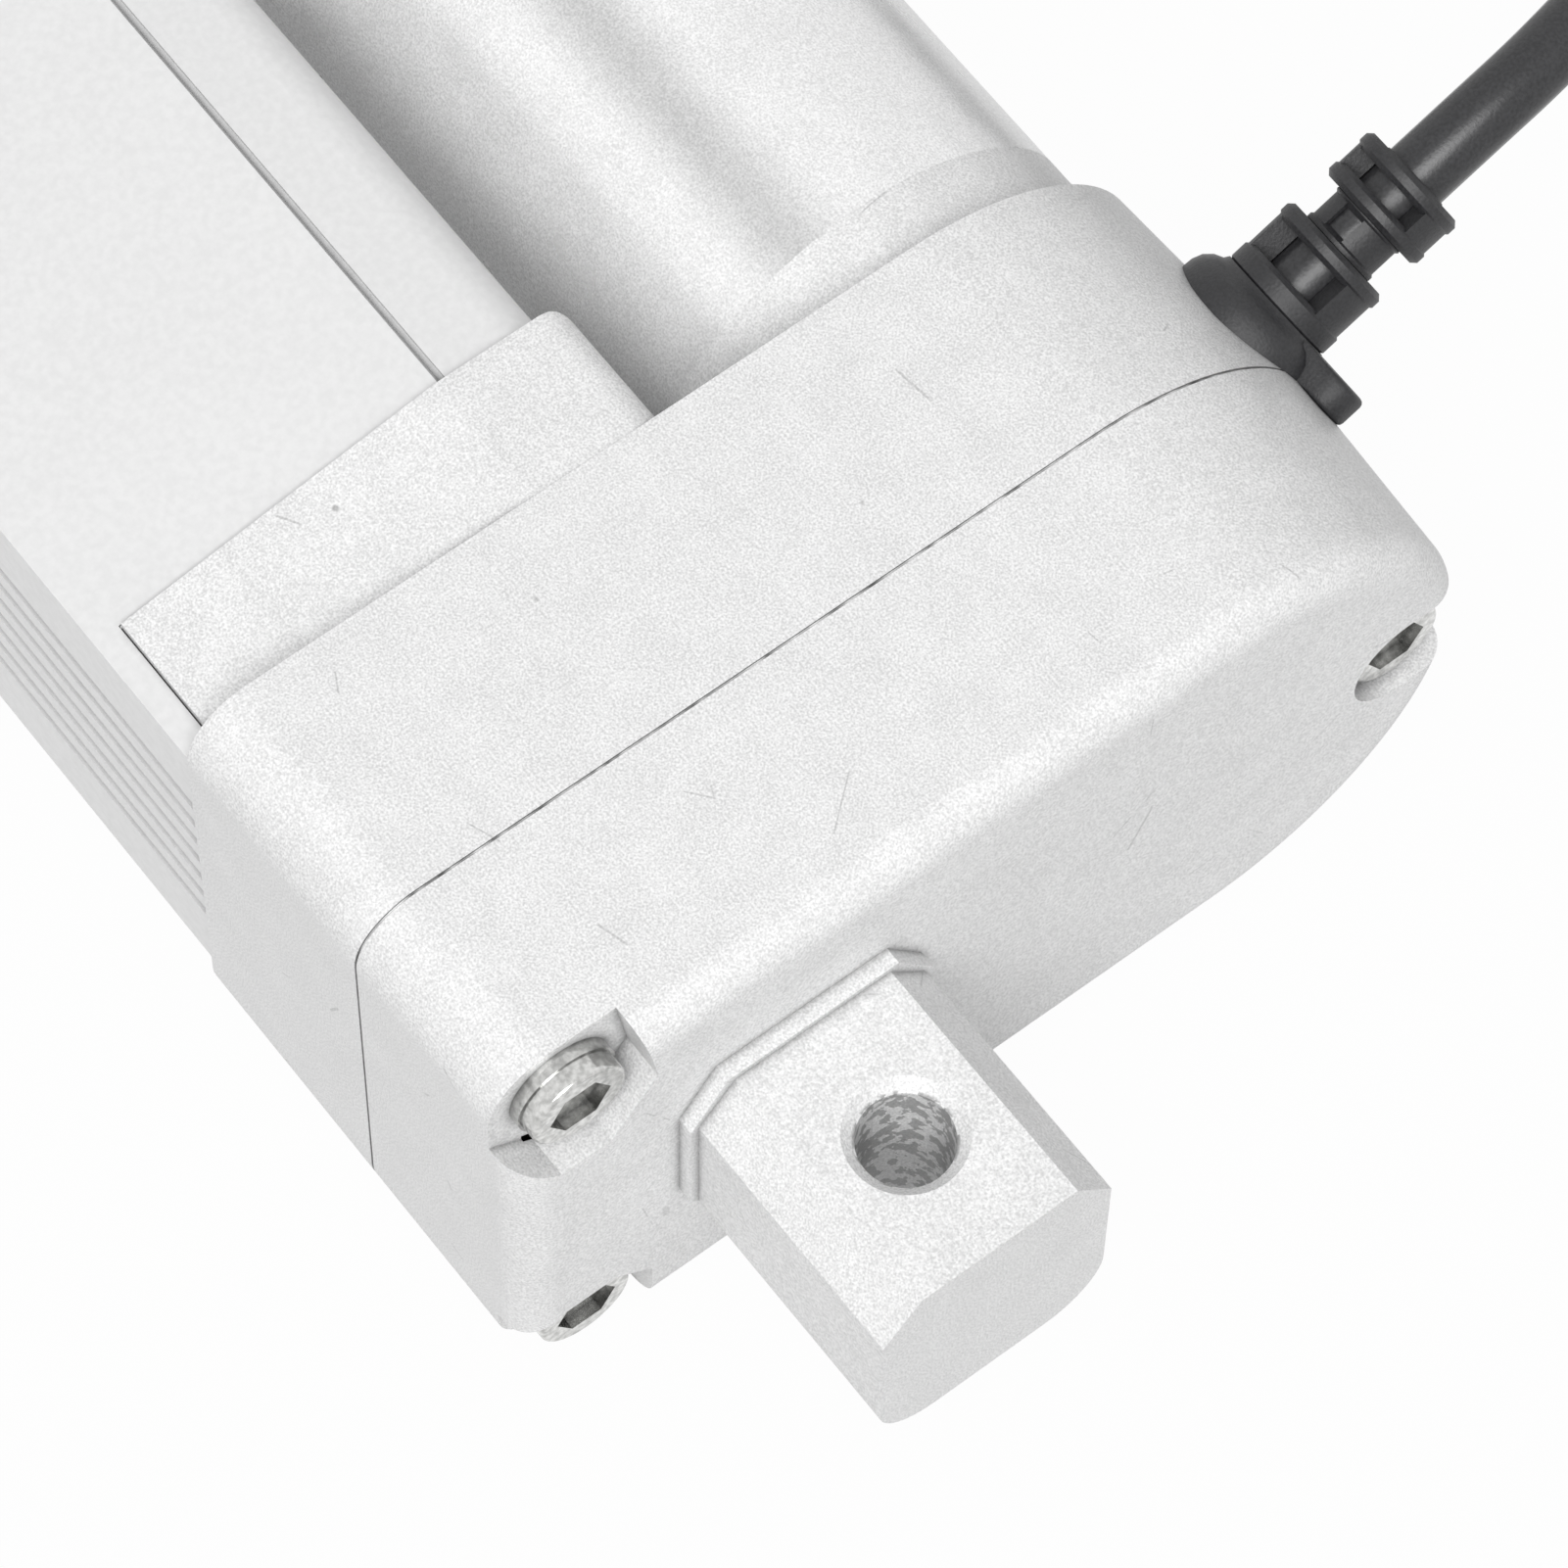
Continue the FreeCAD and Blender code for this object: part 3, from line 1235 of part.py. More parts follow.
# Cable: the free lead, its stored coil and the tail, on the motor's real side
lay_z = floor_z + cable_r
cable_start = relief_point(relief_x, half_h + relief_len, 0)
cable_points = [
    V(cable_start.x, -cable_start.y, cable_start.z),
    V(32.2, -71.2, 15.8),
    V(32.6, -76.6, 16.9),
    V(33.8, -82.5, 17.0),
    V(35.9, -88.5, 15.7),
    V(38.6, -94.2, 12.6),
    V(41.2, -99.7, 7.5),
    V(45.0, -108.1, -2.3),
    V(47.8, -116.1, -9.6),
    V(49.6, -123.7, -14.0),
    V(50.2, -130.6, -16.3),
    V(50.2, -137.0, lay_z + 0.05),
]
coil_x = cable_points[-1].x + coil_turn_r
coil_y = cable_points[-1].y
coil_outer_r = coil_turn_r + cable_r
coil_inner_r = coil_outer_r - 2 * cable_r * coil_wide
coil_top_z = floor_z + 2 * cable_r * coil_layers
tail_x = coil_x + coil_turn_r
tail_z = coil_top_z - cable_r
tail_points = [
    V(tail_x, coil_y, tail_z),
    V(tail_x, coil_y + 11.0, tail_z - 0.3),
    V(tail_x - 0.6, coil_y + 23.5, tail_z - 2.6),
    V(tail_x - 1.4, coil_y + 35.5, lay_z),
    V(tail_x - 1.4, coil_y + 46.5, lay_z),
]


def make_coil():
    coil = rod_along_z(coil_outer_r, coil_x, coil_y, floor_z, coil_top_z)
    coil = coil.cut(rod_along_z(coil_inner_r, coil_x, coil_y, floor_z - over, coil_top_z + over))
    rims = [e for e in coil.Edges if e.BoundBox.ZLength < seat_gap]
    return coil.makeFillet(cable_r * coil_edge_share, rims)


coil = make_coil()
tie = block(coil_x - tie_w / 2, coil_x + tie_w / 2, coil_y - coil_outer_r - tie_t,
            coil_y - coil_inner_r + tie_t, floor_z, coil_top_z + tie_t)
save("cable", largest(sweep_cable("cable", cable_points).cut(coil)), turn_over=False)
save("cable_coil", coil, turn_over=False)
save("cable_tail", largest(sweep_cable("tail", tail_points).cut(coil)), turn_over=False)
save("coil_tie", largest(tie.cut(coil)), turn_over=False)


# Two-pin plug at the far end of the cable
def make_plug(x, y):
    mid_z = floor_z + plug_h / 2
    plug = block(x - plug_half_w, x + plug_half_w, y, y + plug_len, floor_z, floor_z + plug_h)
    plug = plug.cut(block(x - plug_half_w + plug_wall, x + plug_half_w - plug_wall,
                          y + plug_len - socket_depth, y + plug_len + over,
                          floor_z + plug_wall, floor_z + plug_h - plug_wall))
    pins = []
    for pin_x in (x - contact_pitch / 2, x + contact_pitch / 2):
        plug = plug.cut(rod_along_y(contact_r, pin_x, y + plug_back, y + plug_len, mid_z))
        pins.append(rod_along_y(contact_r, pin_x, y + plug_back, y + plug_len - contact_in, mid_z))
    return plug, pins


plug_body, plug_pins = make_plug(tail_points[-1].x, tail_points[-1].y)
save("cable_connector", plug_body, turn_over=False)
save("connector_pins", plug_pins, turn_over=False)
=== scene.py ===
import math

import bmesh
import bpy
from mathutils import Matrix, Vector


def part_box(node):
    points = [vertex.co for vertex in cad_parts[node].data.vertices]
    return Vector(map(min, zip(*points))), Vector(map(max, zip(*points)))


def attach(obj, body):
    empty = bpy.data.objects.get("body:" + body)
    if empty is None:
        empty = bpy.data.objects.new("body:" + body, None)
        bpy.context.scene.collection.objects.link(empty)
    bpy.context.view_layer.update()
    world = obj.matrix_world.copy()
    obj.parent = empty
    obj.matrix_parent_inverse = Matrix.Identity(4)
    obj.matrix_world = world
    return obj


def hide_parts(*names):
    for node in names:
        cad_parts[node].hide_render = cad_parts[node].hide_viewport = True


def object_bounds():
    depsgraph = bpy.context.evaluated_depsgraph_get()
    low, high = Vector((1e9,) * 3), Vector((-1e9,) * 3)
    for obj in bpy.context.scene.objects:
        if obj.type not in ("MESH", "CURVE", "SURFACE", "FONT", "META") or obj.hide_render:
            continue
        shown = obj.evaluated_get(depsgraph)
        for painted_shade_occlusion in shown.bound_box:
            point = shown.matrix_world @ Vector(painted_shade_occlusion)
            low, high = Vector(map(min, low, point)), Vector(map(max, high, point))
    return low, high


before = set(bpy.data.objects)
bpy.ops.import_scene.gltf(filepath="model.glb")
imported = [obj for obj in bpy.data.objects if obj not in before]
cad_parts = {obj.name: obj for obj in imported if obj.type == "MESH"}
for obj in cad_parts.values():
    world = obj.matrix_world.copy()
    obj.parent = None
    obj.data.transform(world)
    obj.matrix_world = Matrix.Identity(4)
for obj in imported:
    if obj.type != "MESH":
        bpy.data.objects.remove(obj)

cad_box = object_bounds()
scene = bpy.context.scene
scene.view_settings.view_transform = "Standard"


# Camera: it stands above and behind the rear end and looks along the actuator, a little rolled.
# Its place and its three angles come from the edges of the gearbox in the photograph.
def mm(*values):
    """Millimetres as metres: a vector for three values, a number for one."""
    metres = [value / 1000 for value in values]
    return Vector(metres) if len(metres) == 3 else metres[0]


photo_width_px = 1601
focal_px = 7976.34
sensor_width = 36.0
camera_place = mm(-149.71, 130.25, 445.68)
camera_heading = math.radians(38.71)
camera_pitch = math.radians(63.02)
camera_roll = math.radians(1.39)
nearest_seen = 0.01
looking_back = Vector((-math.cos(camera_pitch) * math.cos(camera_heading),
                       math.cos(camera_pitch) * math.sin(camera_heading),
                       math.sin(camera_pitch)))
level_right = Vector((0, 0, 1)).cross(looking_back).normalized()
turned_right = Matrix.Rotation(camera_roll, 3, looking_back) @ level_right
camera_up = looking_back.cross(turned_right)
camera_data = bpy.data.cameras.new("camera")
camera_data.sensor_width = sensor_width
camera_data.lens = focal_px * sensor_width / photo_width_px
camera_data.clip_start = nearest_seen
camera = bpy.data.objects.new("camera", camera_data)
axes = Matrix((turned_right, camera_up, looking_back)).transposed()
camera.matrix_world = Matrix.Translation(camera_place) @ axes.to_4x4()
scene.collection.objects.link(camera)
scene.camera = camera


# Supply cable: a round two-core lead with a matte PVC jacket. It leaves the boot in one easy
# bow, drops to the table, is stored as a tied coil of three and a half turns, and ends in a plug.
def linear(hex_colour, alpha=1.0):
    """An sRGB hex colour as the linear values that a socket takes."""
    channels = [int(hex_colour[i:i + 2], 16) / 255 for i in (1, 3, 5)]
    return [c / 12.92 if c <= 0.04045 else ((c + 0.055) / 1.055) ** 2.4 for c in channels] + [alpha]


def add(tree, kind, inputs=None, **settings):
    """Adds one shader node with its settings, and links or sets the inputs that are named."""
    node = tree.nodes.new("ShaderNode" + kind)
    for name, value in settings.items():
        setattr(node, name, value)
    for key, value in (inputs or {}).items():
        if isinstance(value, bpy.types.NodeSocket):
            tree.links.new(value, node.inputs[key])
        else:
            node.inputs[key].default_value = value
    return node


def new_material(name):
    """An empty node material with its tree, Principled node and Object coordinates."""
    material = bpy.data.materials.new(name)
    material.use_nodes = True
    tree = material.node_tree
    place = add(tree, "TexCoord").outputs["Object"]
    return material, tree, tree.nodes["Principled BSDF"], place


def darkened(tree, shader, share):
    """Multiplies the colour that a finish has so far by a share between 0 and 1."""
    colour = shader.inputs["Base Color"].links[0].from_socket
    shaded = add(tree, "Mix", {0: 1.0, 6: colour, 7: share}, data_type="RGBA", blend_type="MULTIPLY")
    tree.links.new(shaded.outputs[2], shader.inputs["Base Color"])


patch_grains = 20
patch_weight = 0.15
# The least share of colour that the painted shade in corners and gaps leaves.
painted_shade_floor = 0.3


def grained(name, light, dark, metallic, roughness, grain, relief, spread=0.08, painted_shade_reach=0.0):
    """A finish whose colour, roughness and height all vary with a grain of the given size in mm.

    Broad patches, many grains wide, lie over the fine grain. With a painted shade reach in mm it also
    darkens the colour where two surfaces stand that close together: shade painted into corners and gaps.
    """
    material, tree, shader, place = new_material(name)
    fine = add(tree, "TexNoise", {"Vector": place, "Scale": 1 / mm(grain), "Detail": 2.0})
    broad = add(tree, "TexNoise", {"Vector": place, "Scale": 1 / mm(grain * patch_grains), "Detail": 2.0})
    both = add(tree, "Math", {0: broad.outputs["Fac"], 1: patch_weight, 2: fine.outputs["Fac"]},
               operation="MULTIPLY_ADD")
    share = add(tree, "MapRange", {"Value": both.outputs[0], "From Min": 0.40, "From Max": 0.75})
    colour = add(tree, "Mix", {0: share.outputs[0], 6: linear(dark), 7: linear(light)},
                 data_type="RGBA")
    rough = add(tree, "MapRange", {"Value": broad.outputs["Fac"], "From Min": 0.3, "From Max": 0.7,
                                   "To Min": roughness - spread, "To Max": roughness + spread})
    bump = add(tree, "Bump", {"Height": fine.outputs["Fac"], "Distance": mm(relief), "Strength": 1.0})
    tree.links.new(colour.outputs[2], shader.inputs["Base Color"])
    tree.links.new(rough.outputs[0], shader.inputs["Roughness"])
    tree.links.new(bump.outputs["Normal"], shader.inputs["Normal"])
    shader.inputs["Metallic"].default_value = metallic
    # Painted shade: an ambient occlusion mask darkens the colour in corners, recesses and narrow gaps.
    if painted_shade_reach:
        painted_shade_occlusion = add(tree, "AmbientOcclusion", {"Distance": mm(painted_shade_reach)}, samples=4)
        painted_shade_share = add(tree, "MapRange", {"Value": painted_shade_occlusion.outputs["AO"], "From Min": 0.35,
                                            "From Max": 0.85, "To Min": painted_shade_floor, "To Max": 1.0})
        darkened(tree, shader, painted_shade_share.outputs[0])
    return material


def dress(material, *names):
    """Gives a material to nodes of the frame."""
    for name in names:
        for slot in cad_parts[name].material_slots:
            slot.material = material


coil_low, coil_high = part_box("cable_coil")
cable_r = 2.4
boot_angle = math.radians(24.0)
round_end_y = -35.7
round_end_r = 19.5
exit_x = 32.2
exit_r = round_end_r + 14.4
lay_z = coil_low.z * 1000 + cable_r
coil_turn_r = 29.9
coil_x = 80.1
coil_y = -137.0
turns = 3.5
steps_per_turn = 28
turn_pitch = 2 * cable_r
step_inward = (0.80, 0.94)
step_upward = (1.66, 1.80)
step_outward = (2.52, 2.66)
free_points = [
    (exit_x, round_end_y - exit_r * math.cos(boot_angle), exit_r * math.sin(boot_angle)),
    (32.2, -71.2, 15.8),
    (32.6, -76.6, 16.9),
    (33.8, -82.5, 17.0),
    (35.9, -88.5, 15.7),
    (38.6, -94.2, 12.6),
    (41.2, -99.7, 7.5),
    (45.0, -108.1, -2.3),
    (47.8, -116.1, -9.6),
    (49.6, -123.7, -14.0),
    (50.2, -130.6, -16.3),
]
tail_points = [
    (110.0, -126.0, lay_z + 4.5),
    (109.4, -113.5, lay_z + 2.2),
    (108.6, -101.5, lay_z),
    (108.6, -90.5, lay_z),
]


def eased(value, start, end):
    """Goes smoothly from 0 at the start to 1 at the end."""
    share = min(max((value - start) / (end - start), 0.0), 1.0)
    return share * share * (3 - 2 * share)


def coil_point(turn):
    """A point of the coil: outer and inner turn below, then inner and outer turn above."""
    inward = eased(turn, *step_inward) - eased(turn, *step_outward)
    raised = eased(turn, *step_upward)
    angle = math.pi + 2 * math.pi * turn
    r = coil_turn_r - turn_pitch * inward
    return (coil_x + r * math.cos(angle), coil_y + r * math.sin(angle), lay_z + turn_pitch * raised)


coil_points = [coil_point(i / steps_per_turn) for i in range(int(turns * steps_per_turn) + 1)]
cable_route = [mm(*point) for point in free_points + coil_points + tail_points]
cable_curve = bpy.data.curves.new("supply_cable", "CURVE")
cable_curve.dimensions = "3D"
cable_curve.bevel_depth = mm(cable_r)
cable_curve.bevel_resolution = 8
cable_curve.resolution_u = 8
cable_curve.use_fill_caps = True
spline = cable_curve.splines.new("NURBS")
spline.points.add(len(cable_route) - 1)
for point, place in zip(spline.points, cable_route):
    point.co = (*place, 1.0)
spline.order_u = 3
spline.use_endpoint_u = True
supply_cable = bpy.data.objects.new("supply_cable", cable_curve)
scene.collection.objects.link(supply_cable)
pvc_jacket = grained("matte_pvc_jacket", "#323234", "#202022", 0.0, 0.32, 0.25, 0.015, 0.05)
cable_curve.materials.append(pvc_jacket)
dress(pvc_jacket, "cable_jacket_end")
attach(supply_cable, "housing")
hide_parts("cable", "cable_coil", "cable_tail")


# Plug, its two contacts and the coil's tie: a moulded nylon shell with tinned pins at the far
# end of the lead, and a smooth nylon strap pulled round the coil.
moulded_black = grained("moulded_black_nylon", "#2c2c2e", "#202022", 0.0, 0.38, 0.5, 0.015)
tinned_pin = grained("tinned_brass_pin", "#d8d6cf", "#b9b6ad", 1.0, 0.28, 0.3, 0.003)
dress(moulded_black, "cable_connector", "coil_tie")
dress(tinned_pin, "connector_pins")


# Strain relief boot: a moulded rubber sleeve on the gearbox. A dished flange with a tongue sits
# on the round end, then two windowed drums joined by a slim neck let it bend with the lead.
boot_bm = bmesh.new()
sleeve_r = cable_r + 0.05
flange_outline = [(sleeve_r, -1.5), (5.95, -1.5), (6.0, -0.6), (5.95, 0.2), (5.7, 0.9), (5.2, 1.45),
                  (4.6, 1.75), (4.4, 2.1), (sleeve_r, 2.1)]
tip_outline_r = 2.6
tip_from = 13.6
tip_to = 14.4
tongue_size = (4.3, 5.8, 2.3)
tongue_y = 6.0
tongue_z = 0.9
tongue_corner_r = 1.9
tongue_edge_r = 0.4
cheek_inset = 0.15
rise = math.sin(boot_angle)
run = math.cos(boot_angle)
boot_axis = Matrix(((0, -1, 0), (rise, 0, -run), (run, 0, rise))).to_4x4()
boot_seat = mm(exit_x, round_end_y - round_end_r * run, round_end_r * rise)


def ring_outline(r_in, r_out, low, high, edge=0.35):
    """A ring's section with its outer edges broken, as (radius, height) points."""
    return [(r_in, low), (r_out - edge, low), (r_out, low + edge), (r_out, high - edge),
            (r_out - edge, high), (r_in, high)]


def sweep_outline(bm, outline, start=0.0, sweep=360.0, steps=48):
    """Turns a section about the local Z axis, all the way round or through part of a turn."""
    corners = [bm.verts.new((mm(r), 0, mm(h))) for r, h in outline]
    face = bm.faces.new(corners)
    geometry = corners + list(face.edges) + [face]
    bmesh.ops.rotate(bm, verts=corners, cent=(0, 0, 0),
                     matrix=Matrix.Rotation(math.radians(start), 3, "Z"))
    full = sweep >= 360
    if full:
        bmesh.ops.delete(bm, geom=[face], context="FACES_ONLY")
        geometry = corners + [e for e in bm.edges if e.verts[0] in corners and e.verts[1] in corners]
    bmesh.ops.spin(bm, geom=geometry, cent=(0, 0, 0), axis=(0, 0, 1),
                   angle=math.radians(sweep), steps=steps, use_merge=full)


def windowed_drum(bm, r_in, r_out, low, high, rim_low, rim_high, half_window):
    """Two rims joined by two cheeks, with a window above and one below."""
    sweep_outline(bm, ring_outline(r_in, r_out, low, low + rim_low))
    sweep_outline(bm, ring_outline(r_in, r_out, high - rim_high, high))
    for middle in (90, 270):
        cheek = 90 - half_window
        outline = ring_outline(r_in, r_out - cheek_inset, low + rim_low / 2, high - rim_high / 2, edge=0.2)
        sweep_outline(bm, outline, start=middle - cheek, sweep=2 * cheek, steps=24)


sweep_outline(boot_bm, flange_outline)
windowed_drum(boot_bm, sleeve_r, r_out=4.35, low=1.9, high=7.5, rim_low=1.9, rim_high=1.3, half_window=52)
windowed_drum(boot_bm, sleeve_r, r_out=2.9, low=7.2, high=10.6, rim_low=1.0, rim_high=0.8, half_window=18)
windowed_drum(boot_bm, sleeve_r, r_out=4.2, low=10.3, high=14.3, rim_low=1.3, rim_high=1.3, half_window=54)
sweep_outline(boot_bm, ring_outline(sleeve_r, tip_outline_r, tip_from, tip_to, edge=0.1))
tongue = bmesh.ops.create_cube(boot_bm, size=1.0)["verts"]
bmesh.ops.scale(boot_bm, vec=mm(*tongue_size), verts=tongue)
bmesh.ops.translate(boot_bm, vec=mm(0, tongue_y, tongue_z), verts=tongue)
tongue_ends = [e for e in boot_bm.edges if e.verts[0] in tongue and e.verts[1] in tongue
               and abs(e.verts[0].co.z - e.verts[1].co.z) > mm(1) and e.verts[0].co.y > mm(tongue_y)]
bmesh.ops.bevel(boot_bm, geom=tongue_ends, offset=mm(tongue_corner_r), offset_type="OFFSET",
                affect="EDGES", segments=6, profile=0.5, material=-1)
past_flange = mm(tongue_y + 0.05)
tongue_rim = [e for e in boot_bm.edges if min(e.verts[0].co.y, e.verts[1].co.y) > past_flange
              and abs(e.verts[0].co.z - e.verts[1].co.z) < mm(0.01)]
bmesh.ops.bevel(boot_bm, geom=tongue_rim, offset=mm(tongue_edge_r), offset_type="OFFSET", affect="EDGES",
                segments=3, profile=0.5, material=-1)
bmesh.ops.recalc_face_normals(boot_bm, faces=boot_bm.faces)
boot_bm.transform(Matrix.Translation(boot_seat) @ boot_axis)
moulded_rubber = grained("moulded_rubber", "#2a2a2c", "#1c1c1e", 0.0, 0.5, 0.22, 0.03)


def make_piece(name, bm, material, body, smooth_angle=40):
    """Turns a finished mesh into a piece that rides on a body."""
    mesh = bpy.data.meshes.new(name)
    bm.to_mesh(mesh)
    bm.free()
    mesh.shade_smooth()
    mesh.set_sharp_from_angle(angle=math.radians(smooth_angle))
    mesh.materials.append(material)
    made = bpy.data.objects.new(name, mesh)
    scene.collection.objects.link(made)
    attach(made, body)
    return made


strain_relief_boot = make_piece("strain_relief_boot", boot_bm, moulded_rubber, "housing")
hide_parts("strain_relief")


# Cast gearbox: rear cover, gear housing and front cap are zinc-aluminium die castings, blasted
# and sprayed with a fine metallic silver paint. The paint shows a salt-like sparkle.
# It keeps small casting pits, hairline scratches and a darker, mottled wall inside the tang's hole.
# Painted shade: the last number darkens the paint in corners, part lines and screw pockets.
sprayed_silver = grained("sprayed_silver_paint", "#f2f2f2", "#cbcbcb", 0.12, 0.42, 0.16, 0.012, 0.03, 0.9)
paint_tree = sprayed_silver.node_tree
paint_shader = paint_tree.nodes["Principled BSDF"]
paint_place = add(paint_tree, "TexCoord").outputs["Object"]


def below(tree, value, limit, softness=0.4):
    """A soft mask: 1 well below the limit, 0 above it."""
    return add(tree, "MapRange", {"Value": value, "From Min": limit * (1 - softness), "From Max": limit,
                                  "To Min": 1.0, "To Max": 0.0}).outputs[0]


def kept(tree, mask, chooser, least, depth, edge=0.02):
    """The share of light left by a mask where a second pattern is above a level."""
    chosen = add(tree, "MapRange", {"Value": chooser, "From Min": least, "From Max": least + edge})
    both = add(tree, "Math", {0: mask, 1: chosen.outputs[0]}, operation="MULTIPLY")
    return add(tree, "MapRange", {"Value": both.outputs[0], "To Min": 1.0, "To Max": 1.0 - depth}).outputs[0]


pit_spacing = 7.0
pit_size = 0.045
pit_rarity = 0.45
pit_depth = 0.45
pits = add(paint_tree, "TexVoronoi", {"Vector": paint_place, "Scale": 1 / mm(pit_spacing)})
pit_chance = add(paint_tree, "SeparateColor", {0: pits.outputs["Color"]}).outputs[0]
darkened(paint_tree, paint_shader,
         kept(paint_tree, below(paint_tree, pits.outputs["Distance"], pit_size), pit_chance,
              pit_rarity, pit_depth))
scratch_spacing = 13.0
scratch_width = 0.005
scratch_break = 5.0
scratch_rarity = 0.63
scratch_depth = 0.25
scratches = add(paint_tree, "TexVoronoi", {"Vector": paint_place, "Scale": 1 / mm(scratch_spacing)},
                feature="DISTANCE_TO_EDGE")
scratch_runs = add(paint_tree, "TexNoise", {"Vector": paint_place, "Scale": 1 / mm(scratch_break),
                                              "Detail": 1.0})
darkened(paint_tree, paint_shader,
         kept(paint_tree, below(paint_tree, scratches.outputs["Distance"], scratch_width),
              scratch_runs.outputs["Fac"], scratch_rarity, scratch_depth))
# Darker mottled patches on the wall inside the tang's hole, within a radius of the object's Z axis.
hole_wall_r = 3.4
hole_wall_fade = 0.04
hole_mottle_size = 0.9
hole_mottle_share = 0.5
hole_mottle_depth = 0.5
across = add(paint_tree, "VectorMath", {0: paint_place, 1: (1.0, 1.0, 0.0)}, operation="MULTIPLY")
from_axis = add(paint_tree, "VectorMath", {0: across.outputs[0]}, operation="LENGTH").outputs["Value"]
hole_mottle = add(paint_tree, "TexNoise", {"Vector": paint_place, "Scale": 1 / mm(hole_mottle_size),
                                          "Detail": 4.0})
darkened(paint_tree, paint_shader,
         kept(paint_tree, below(paint_tree, from_axis, mm(hole_wall_r), hole_wall_fade),
              hole_mottle.outputs["Fac"], hole_mottle_share, hole_mottle_depth))
dress(sprayed_silver, "rear_cover", "gear_housing", "front_cap", "motor_end_cap")


# Motor can: a rolled steel tube with the same silver spray, and a pressed end cap.
# A painted reflection runs along it: a darker lengthwise band between two lighter ones.
sprayed_can = grained("sprayed_motor_can", "#fafafa", "#d8d8d8", 0.5, 0.3, 0.16, 0.012, 0.03)
can_tree = sprayed_can.node_tree
can_place = add(can_tree, "SeparateXYZ", {0: add(can_tree, "TexCoord").outputs["Object"]})
can_across = add(can_tree, "Math", {0: can_place.outputs["Y"], 1: -mm(round_end_y)}, operation="ADD")
can_turn = add(can_tree, "Math", {0: can_across.outputs[0], 1: can_place.outputs["Z"]},
               operation="ARCTAN2")
can_share = add(can_tree, "MapRange", {"Value": can_turn.outputs[0], "From Min": math.radians(-90),
                                       "From Max": math.radians(90)})
# Painted reflection: a darker band painted round the can's axis, standing in for the dark surroundings that
# a shiny can mirrors.
can_painted_reflection = add(can_tree, "ValToRGB", {0: can_share.outputs[0]})
can_painted_reflection.color_ramp.interpolation = "EASE"
reflection_band_stops = (0.52, 0.60, 0.68)
reflection_band_levels = ("#ffffff", "#ffffff", "#dadada", "#ffffff", "#ffffff")
for stop in reflection_band_stops:
    can_painted_reflection.color_ramp.elements.new(stop)
for element, level in zip(can_painted_reflection.color_ramp.elements, reflection_band_levels):
    element.color = linear(level)
darkened(can_tree, can_tree.nodes["Principled BSDF"], can_painted_reflection.outputs["Color"])
dress(sprayed_can, "motor_tube")


# Outer tube: an aluminium extrusion, satin anodised, with a ribbed narrow side. Shade is painted
# into the grooves between the ribs, so they read a little darker.
# Painted shade: the last number darkens the grooves between the ribs.
satin_anodised = grained("satin_anodised_aluminium", "#e2e2e2", "#dcdcdc", 0.25, 0.38, 0.6, 0.001, 0.03, 0.6)
dress(satin_anodised, "outer_tube")


# Rod and rod eye: ground stainless steel. The eye is held in the rod by two cross pins.
ground_steel = grained("ground_stainless_steel", "#cfcfcf", "#bdbdbd", 1.0, 0.22, 0.2, 0.001)
dress(ground_steel, "inner_rod", "rod_end_eye", "rod_pins")


# Cover screws: zinc plated pan-head screws with a hexagon recess, each on a split washer.
# Painted shade: the last number darkens the hexagon recesses and the gaps round the washers.
bright_plate = grained("bright_zinc_plate", "#e2e2e0", "#b4b4b2", 1.0, 0.2, 0.5, 0.006, 0.08, 1.6)
dress(bright_plate, "rear_cover_screws", "lock_washers", "front_cap_screws", "tube_screws",
      "motor_screws")


# Seals: a pale sealing sheet between the castings, partly painted over, a seal where the tube meets
# the collar, coloured white as painted light that lifts the shade in the gap there, and the black rubber rod
# wiper.
seal_sheet = grained("pale_sealing_sheet", "#f4f4f4", "#5e5e5e", 0.0, 0.6, 1.6, 0.01)
# Painted light: the tube seal is coloured white to lighten the shade in the gap at the collar's edge.
seal_painted_light = grained("tube_seal_painted_light", "#ffffff", "#f4f4f4", 0.0, 0.5, 0.5, 0.004)
seal_rubber = grained("nitrile_rubber", "#3a3a3b", "#2c2c2d", 0.0, 0.6, 0.3, 0.01)
dress(seal_sheet, "housing_gasket")
dress(seal_painted_light, "tube_seal")
dress(seal_rubber, "rod_wiper")


# Gear train and screw: cut steel shafts and pinions, moulded nylon wheels and nut, a ball
# bearing with a pressed brass cage, and sintered bronze bushes. All of it is inside the castings.
cut_steel = grained("cut_gear_steel", "#a9a8a6", "#8f8e8c", 1.0, 0.35, 0.3, 0.004)
natural_nylon = grained("natural_nylon", "#e9e4d4", "#ddd6c2", 0.0, 0.45, 0.6, 0.006)
bearing_steel = grained("bearing_steel", "#c4c4c4", "#b0b0b0", 1.0, 0.15, 0.3, 0.001)
pressed_brass = grained("pressed_brass", "#c9a85c", "#b08f45", 1.0, 0.3, 0.4, 0.003)
sintered_bronze = grained("sintered_bronze", "#a9814c", "#8f6a3a", 0.9, 0.5, 0.25, 0.01)
dress(cut_steel, "lead_screw", "idler_axle", "idler_pinion", "motor_shaft", "motor_pinion",
      "screw_spacer", "screw_gear_clip", "bearing_circlip")
dress(natural_nylon, "screw_gear", "idler_gear", "drive_nut", "screw_tip_bush")
dress(bearing_steel, "bearing_outer_ring", "bearing_inner_ring", "bearing_balls")
dress(pressed_brass, "bearing_cage")
dress(sintered_bronze, "screw_rear_bush", "rod_guide_bush", "motor_bushes")


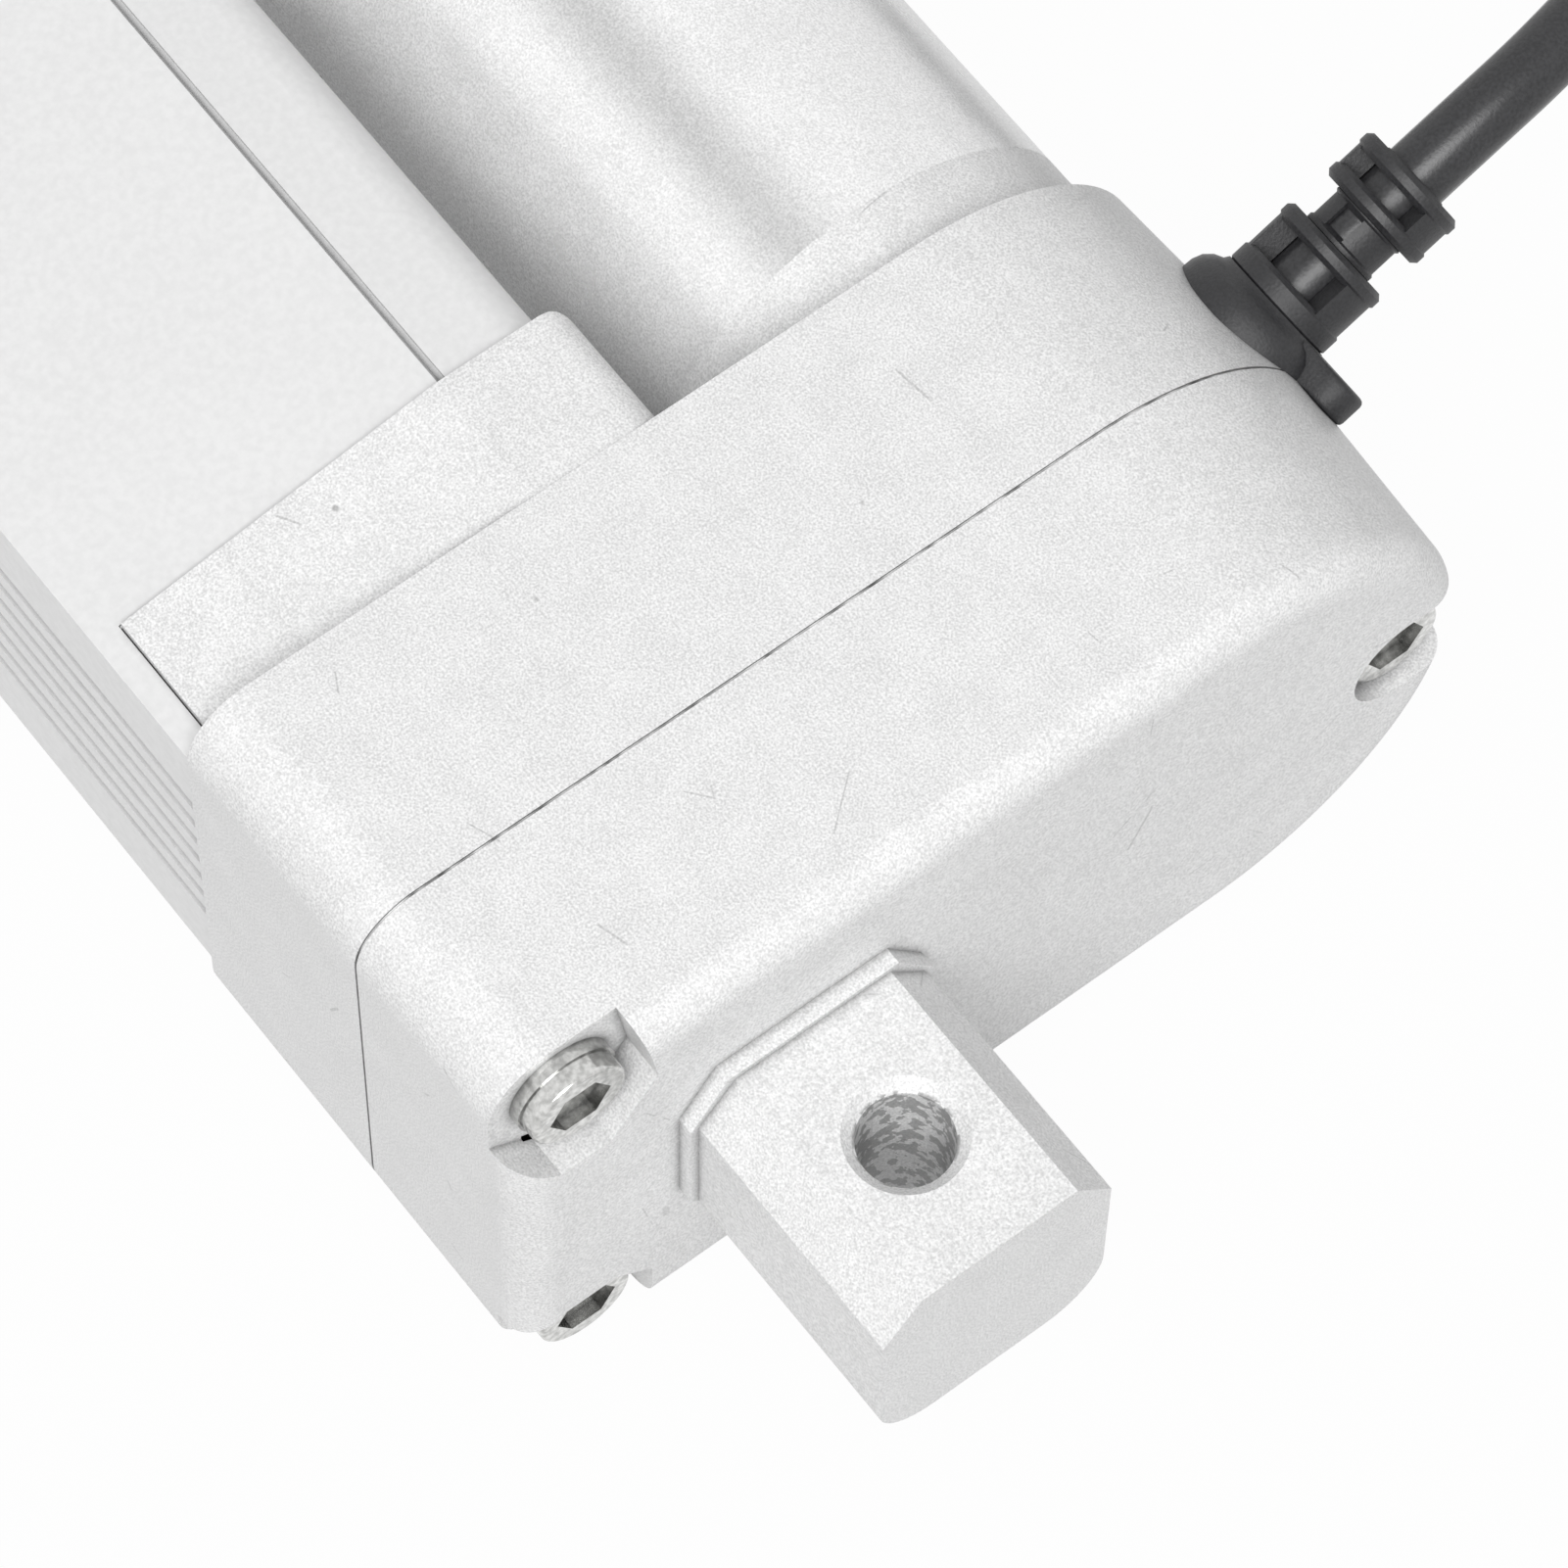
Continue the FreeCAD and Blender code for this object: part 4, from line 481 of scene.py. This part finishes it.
# Motor inside: ferrite magnets round a laminated iron armature with enamelled windings, and a
# phenolic plate that holds the carbon brushes and their springs.
ferrite = grained("ferrite_magnet", "#4a4a4c", "#3b3b3d", 0.1, 0.6, 0.3, 0.01)
carbon = grained("pressed_carbon", "#333335", "#252527", 0.1, 0.55, 0.2, 0.008)
laminated = grained("laminated_iron", "#8d8b88", "#767471", 1.0, 0.45, 0.5, 0.01)
enamelled_copper = grained("enamelled_copper", "#b4673a", "#94502a", 0.8, 0.35, 0.4, 0.02)
phenolic = grained("phenolic_board", "#6b4a32", "#593c28", 0.0, 0.5, 0.4, 0.01)
spring_wire = grained("spring_wire", "#9c9c9c", "#868686", 1.0, 0.3, 0.3, 0.004)
dress(ferrite, "motor_magnets")
dress(carbon, "motor_brushes")
dress(laminated, "armature_core", "motor_front_plate")
dress(enamelled_copper, "armature_windings", "commutator")
dress(phenolic, "brush_plate")
dress(spring_wire, "brush_springs")


# Limit switches and inner wires: two moulded switches and their diodes on a green board beside
# the rod, wired with the same jacket as the supply cable.
board_green = grained("solder_mask_board", "#2f6b45", "#245536", 0.0, 0.35, 0.5, 0.006)
switch_white = grained("moulded_white_switch", "#e8e6e0", "#dad7cf", 0.0, 0.4, 0.5, 0.004)
dress(board_green, "limit_switch_board")
dress(switch_white, "rear_switch_plunger", "front_switch_plunger")
dress(moulded_black, "rear_limit_switch", "front_limit_switch", "limit_diodes")
dress(pvc_jacket, "switch_wires", "motor_wires")


# Table: a plain pale sheet that reads as white and keeps a trace of the object's shadow.
floor_half_side = 3.0
floor_glow = 0.97
floor_bm = bmesh.new()
bmesh.ops.create_grid(floor_bm, x_segments=1, y_segments=1, size=floor_half_side)
bmesh.ops.translate(floor_bm, vec=Vector((0, 0, cad_box[0][2])), verts=floor_bm.verts)
floor_mesh = bpy.data.meshes.new("floor")
floor_bm.to_mesh(floor_mesh)
floor_bm.free()
floor = bpy.data.objects.new("floor", floor_mesh)
scene.collection.objects.link(floor)
white_sheet = bpy.data.materials.new("white_sheet")
white_sheet.use_nodes = True
tree = white_sheet.node_tree


def seen_share(tree):
    """1 for a ray from the camera, a reflection or a clear piece, and 0 for any other ray."""
    paths = add(tree, "LightPath")
    seen = add(tree, "Math", {0: paths.outputs["Is Camera Ray"], 1: paths.outputs["Is Glossy Ray"]},
               operation="MAXIMUM")
    seen = add(tree, "Math", {0: seen.outputs[0], 1: paths.outputs["Is Transmission Ray"]},
               operation="MAXIMUM")
    return seen.outputs[0]


glow_share = add(tree, "Math", {0: seen_share(tree), 1: floor_glow}, operation="MULTIPLY")
matte = add(tree, "BsdfDiffuse", {"Color": linear("#bcbcbc")})
glow = add(tree, "Emission", {"Color": linear("#ffffff"), "Strength": 1.0})
mixed = add(tree, "MixShader", {0: glow_share.outputs[0], 1: matte.outputs[0], 2: glow.outputs[0]})
tree.links.new(mixed.outputs[0], tree.nodes["Material Output"].inputs["Surface"])
floor_mesh.materials.append(white_sheet)


# Light: an even pale room and one wide soft lamp, above and beyond the rear end on the tube's side.
room_light = 0.46
lamp_place = (-0.52, 0.52, 1.04)
lamp_aim = (0.05, -0.02, 0.0)
lamp_side = 0.8
lamp_watts = 14.8
world = bpy.data.worlds.new("room")
scene.world = world
world.use_nodes = True
tree = world.node_tree
strength = add(tree, "MapRange", {"Value": seen_share(tree), "To Min": room_light, "To Max": 1.0})
tree.links.new(strength.outputs[0], tree.nodes["Background"].inputs["Strength"])
tree.nodes["Background"].inputs["Color"].default_value = linear("#ffffff")
lamp_data = bpy.data.lights.new("soft_lamp", "AREA")
lamp_data.shape = "SQUARE"
lamp_data.size = lamp_side
lamp_data.energy = lamp_watts
lamp = bpy.data.objects.new("soft_lamp", lamp_data)
lamp.location = lamp_place
lamp.rotation_euler = (Vector(lamp_place) - Vector(lamp_aim)).to_track_quat("Z", "Y").to_euler()
scene.collection.objects.link(lamp)
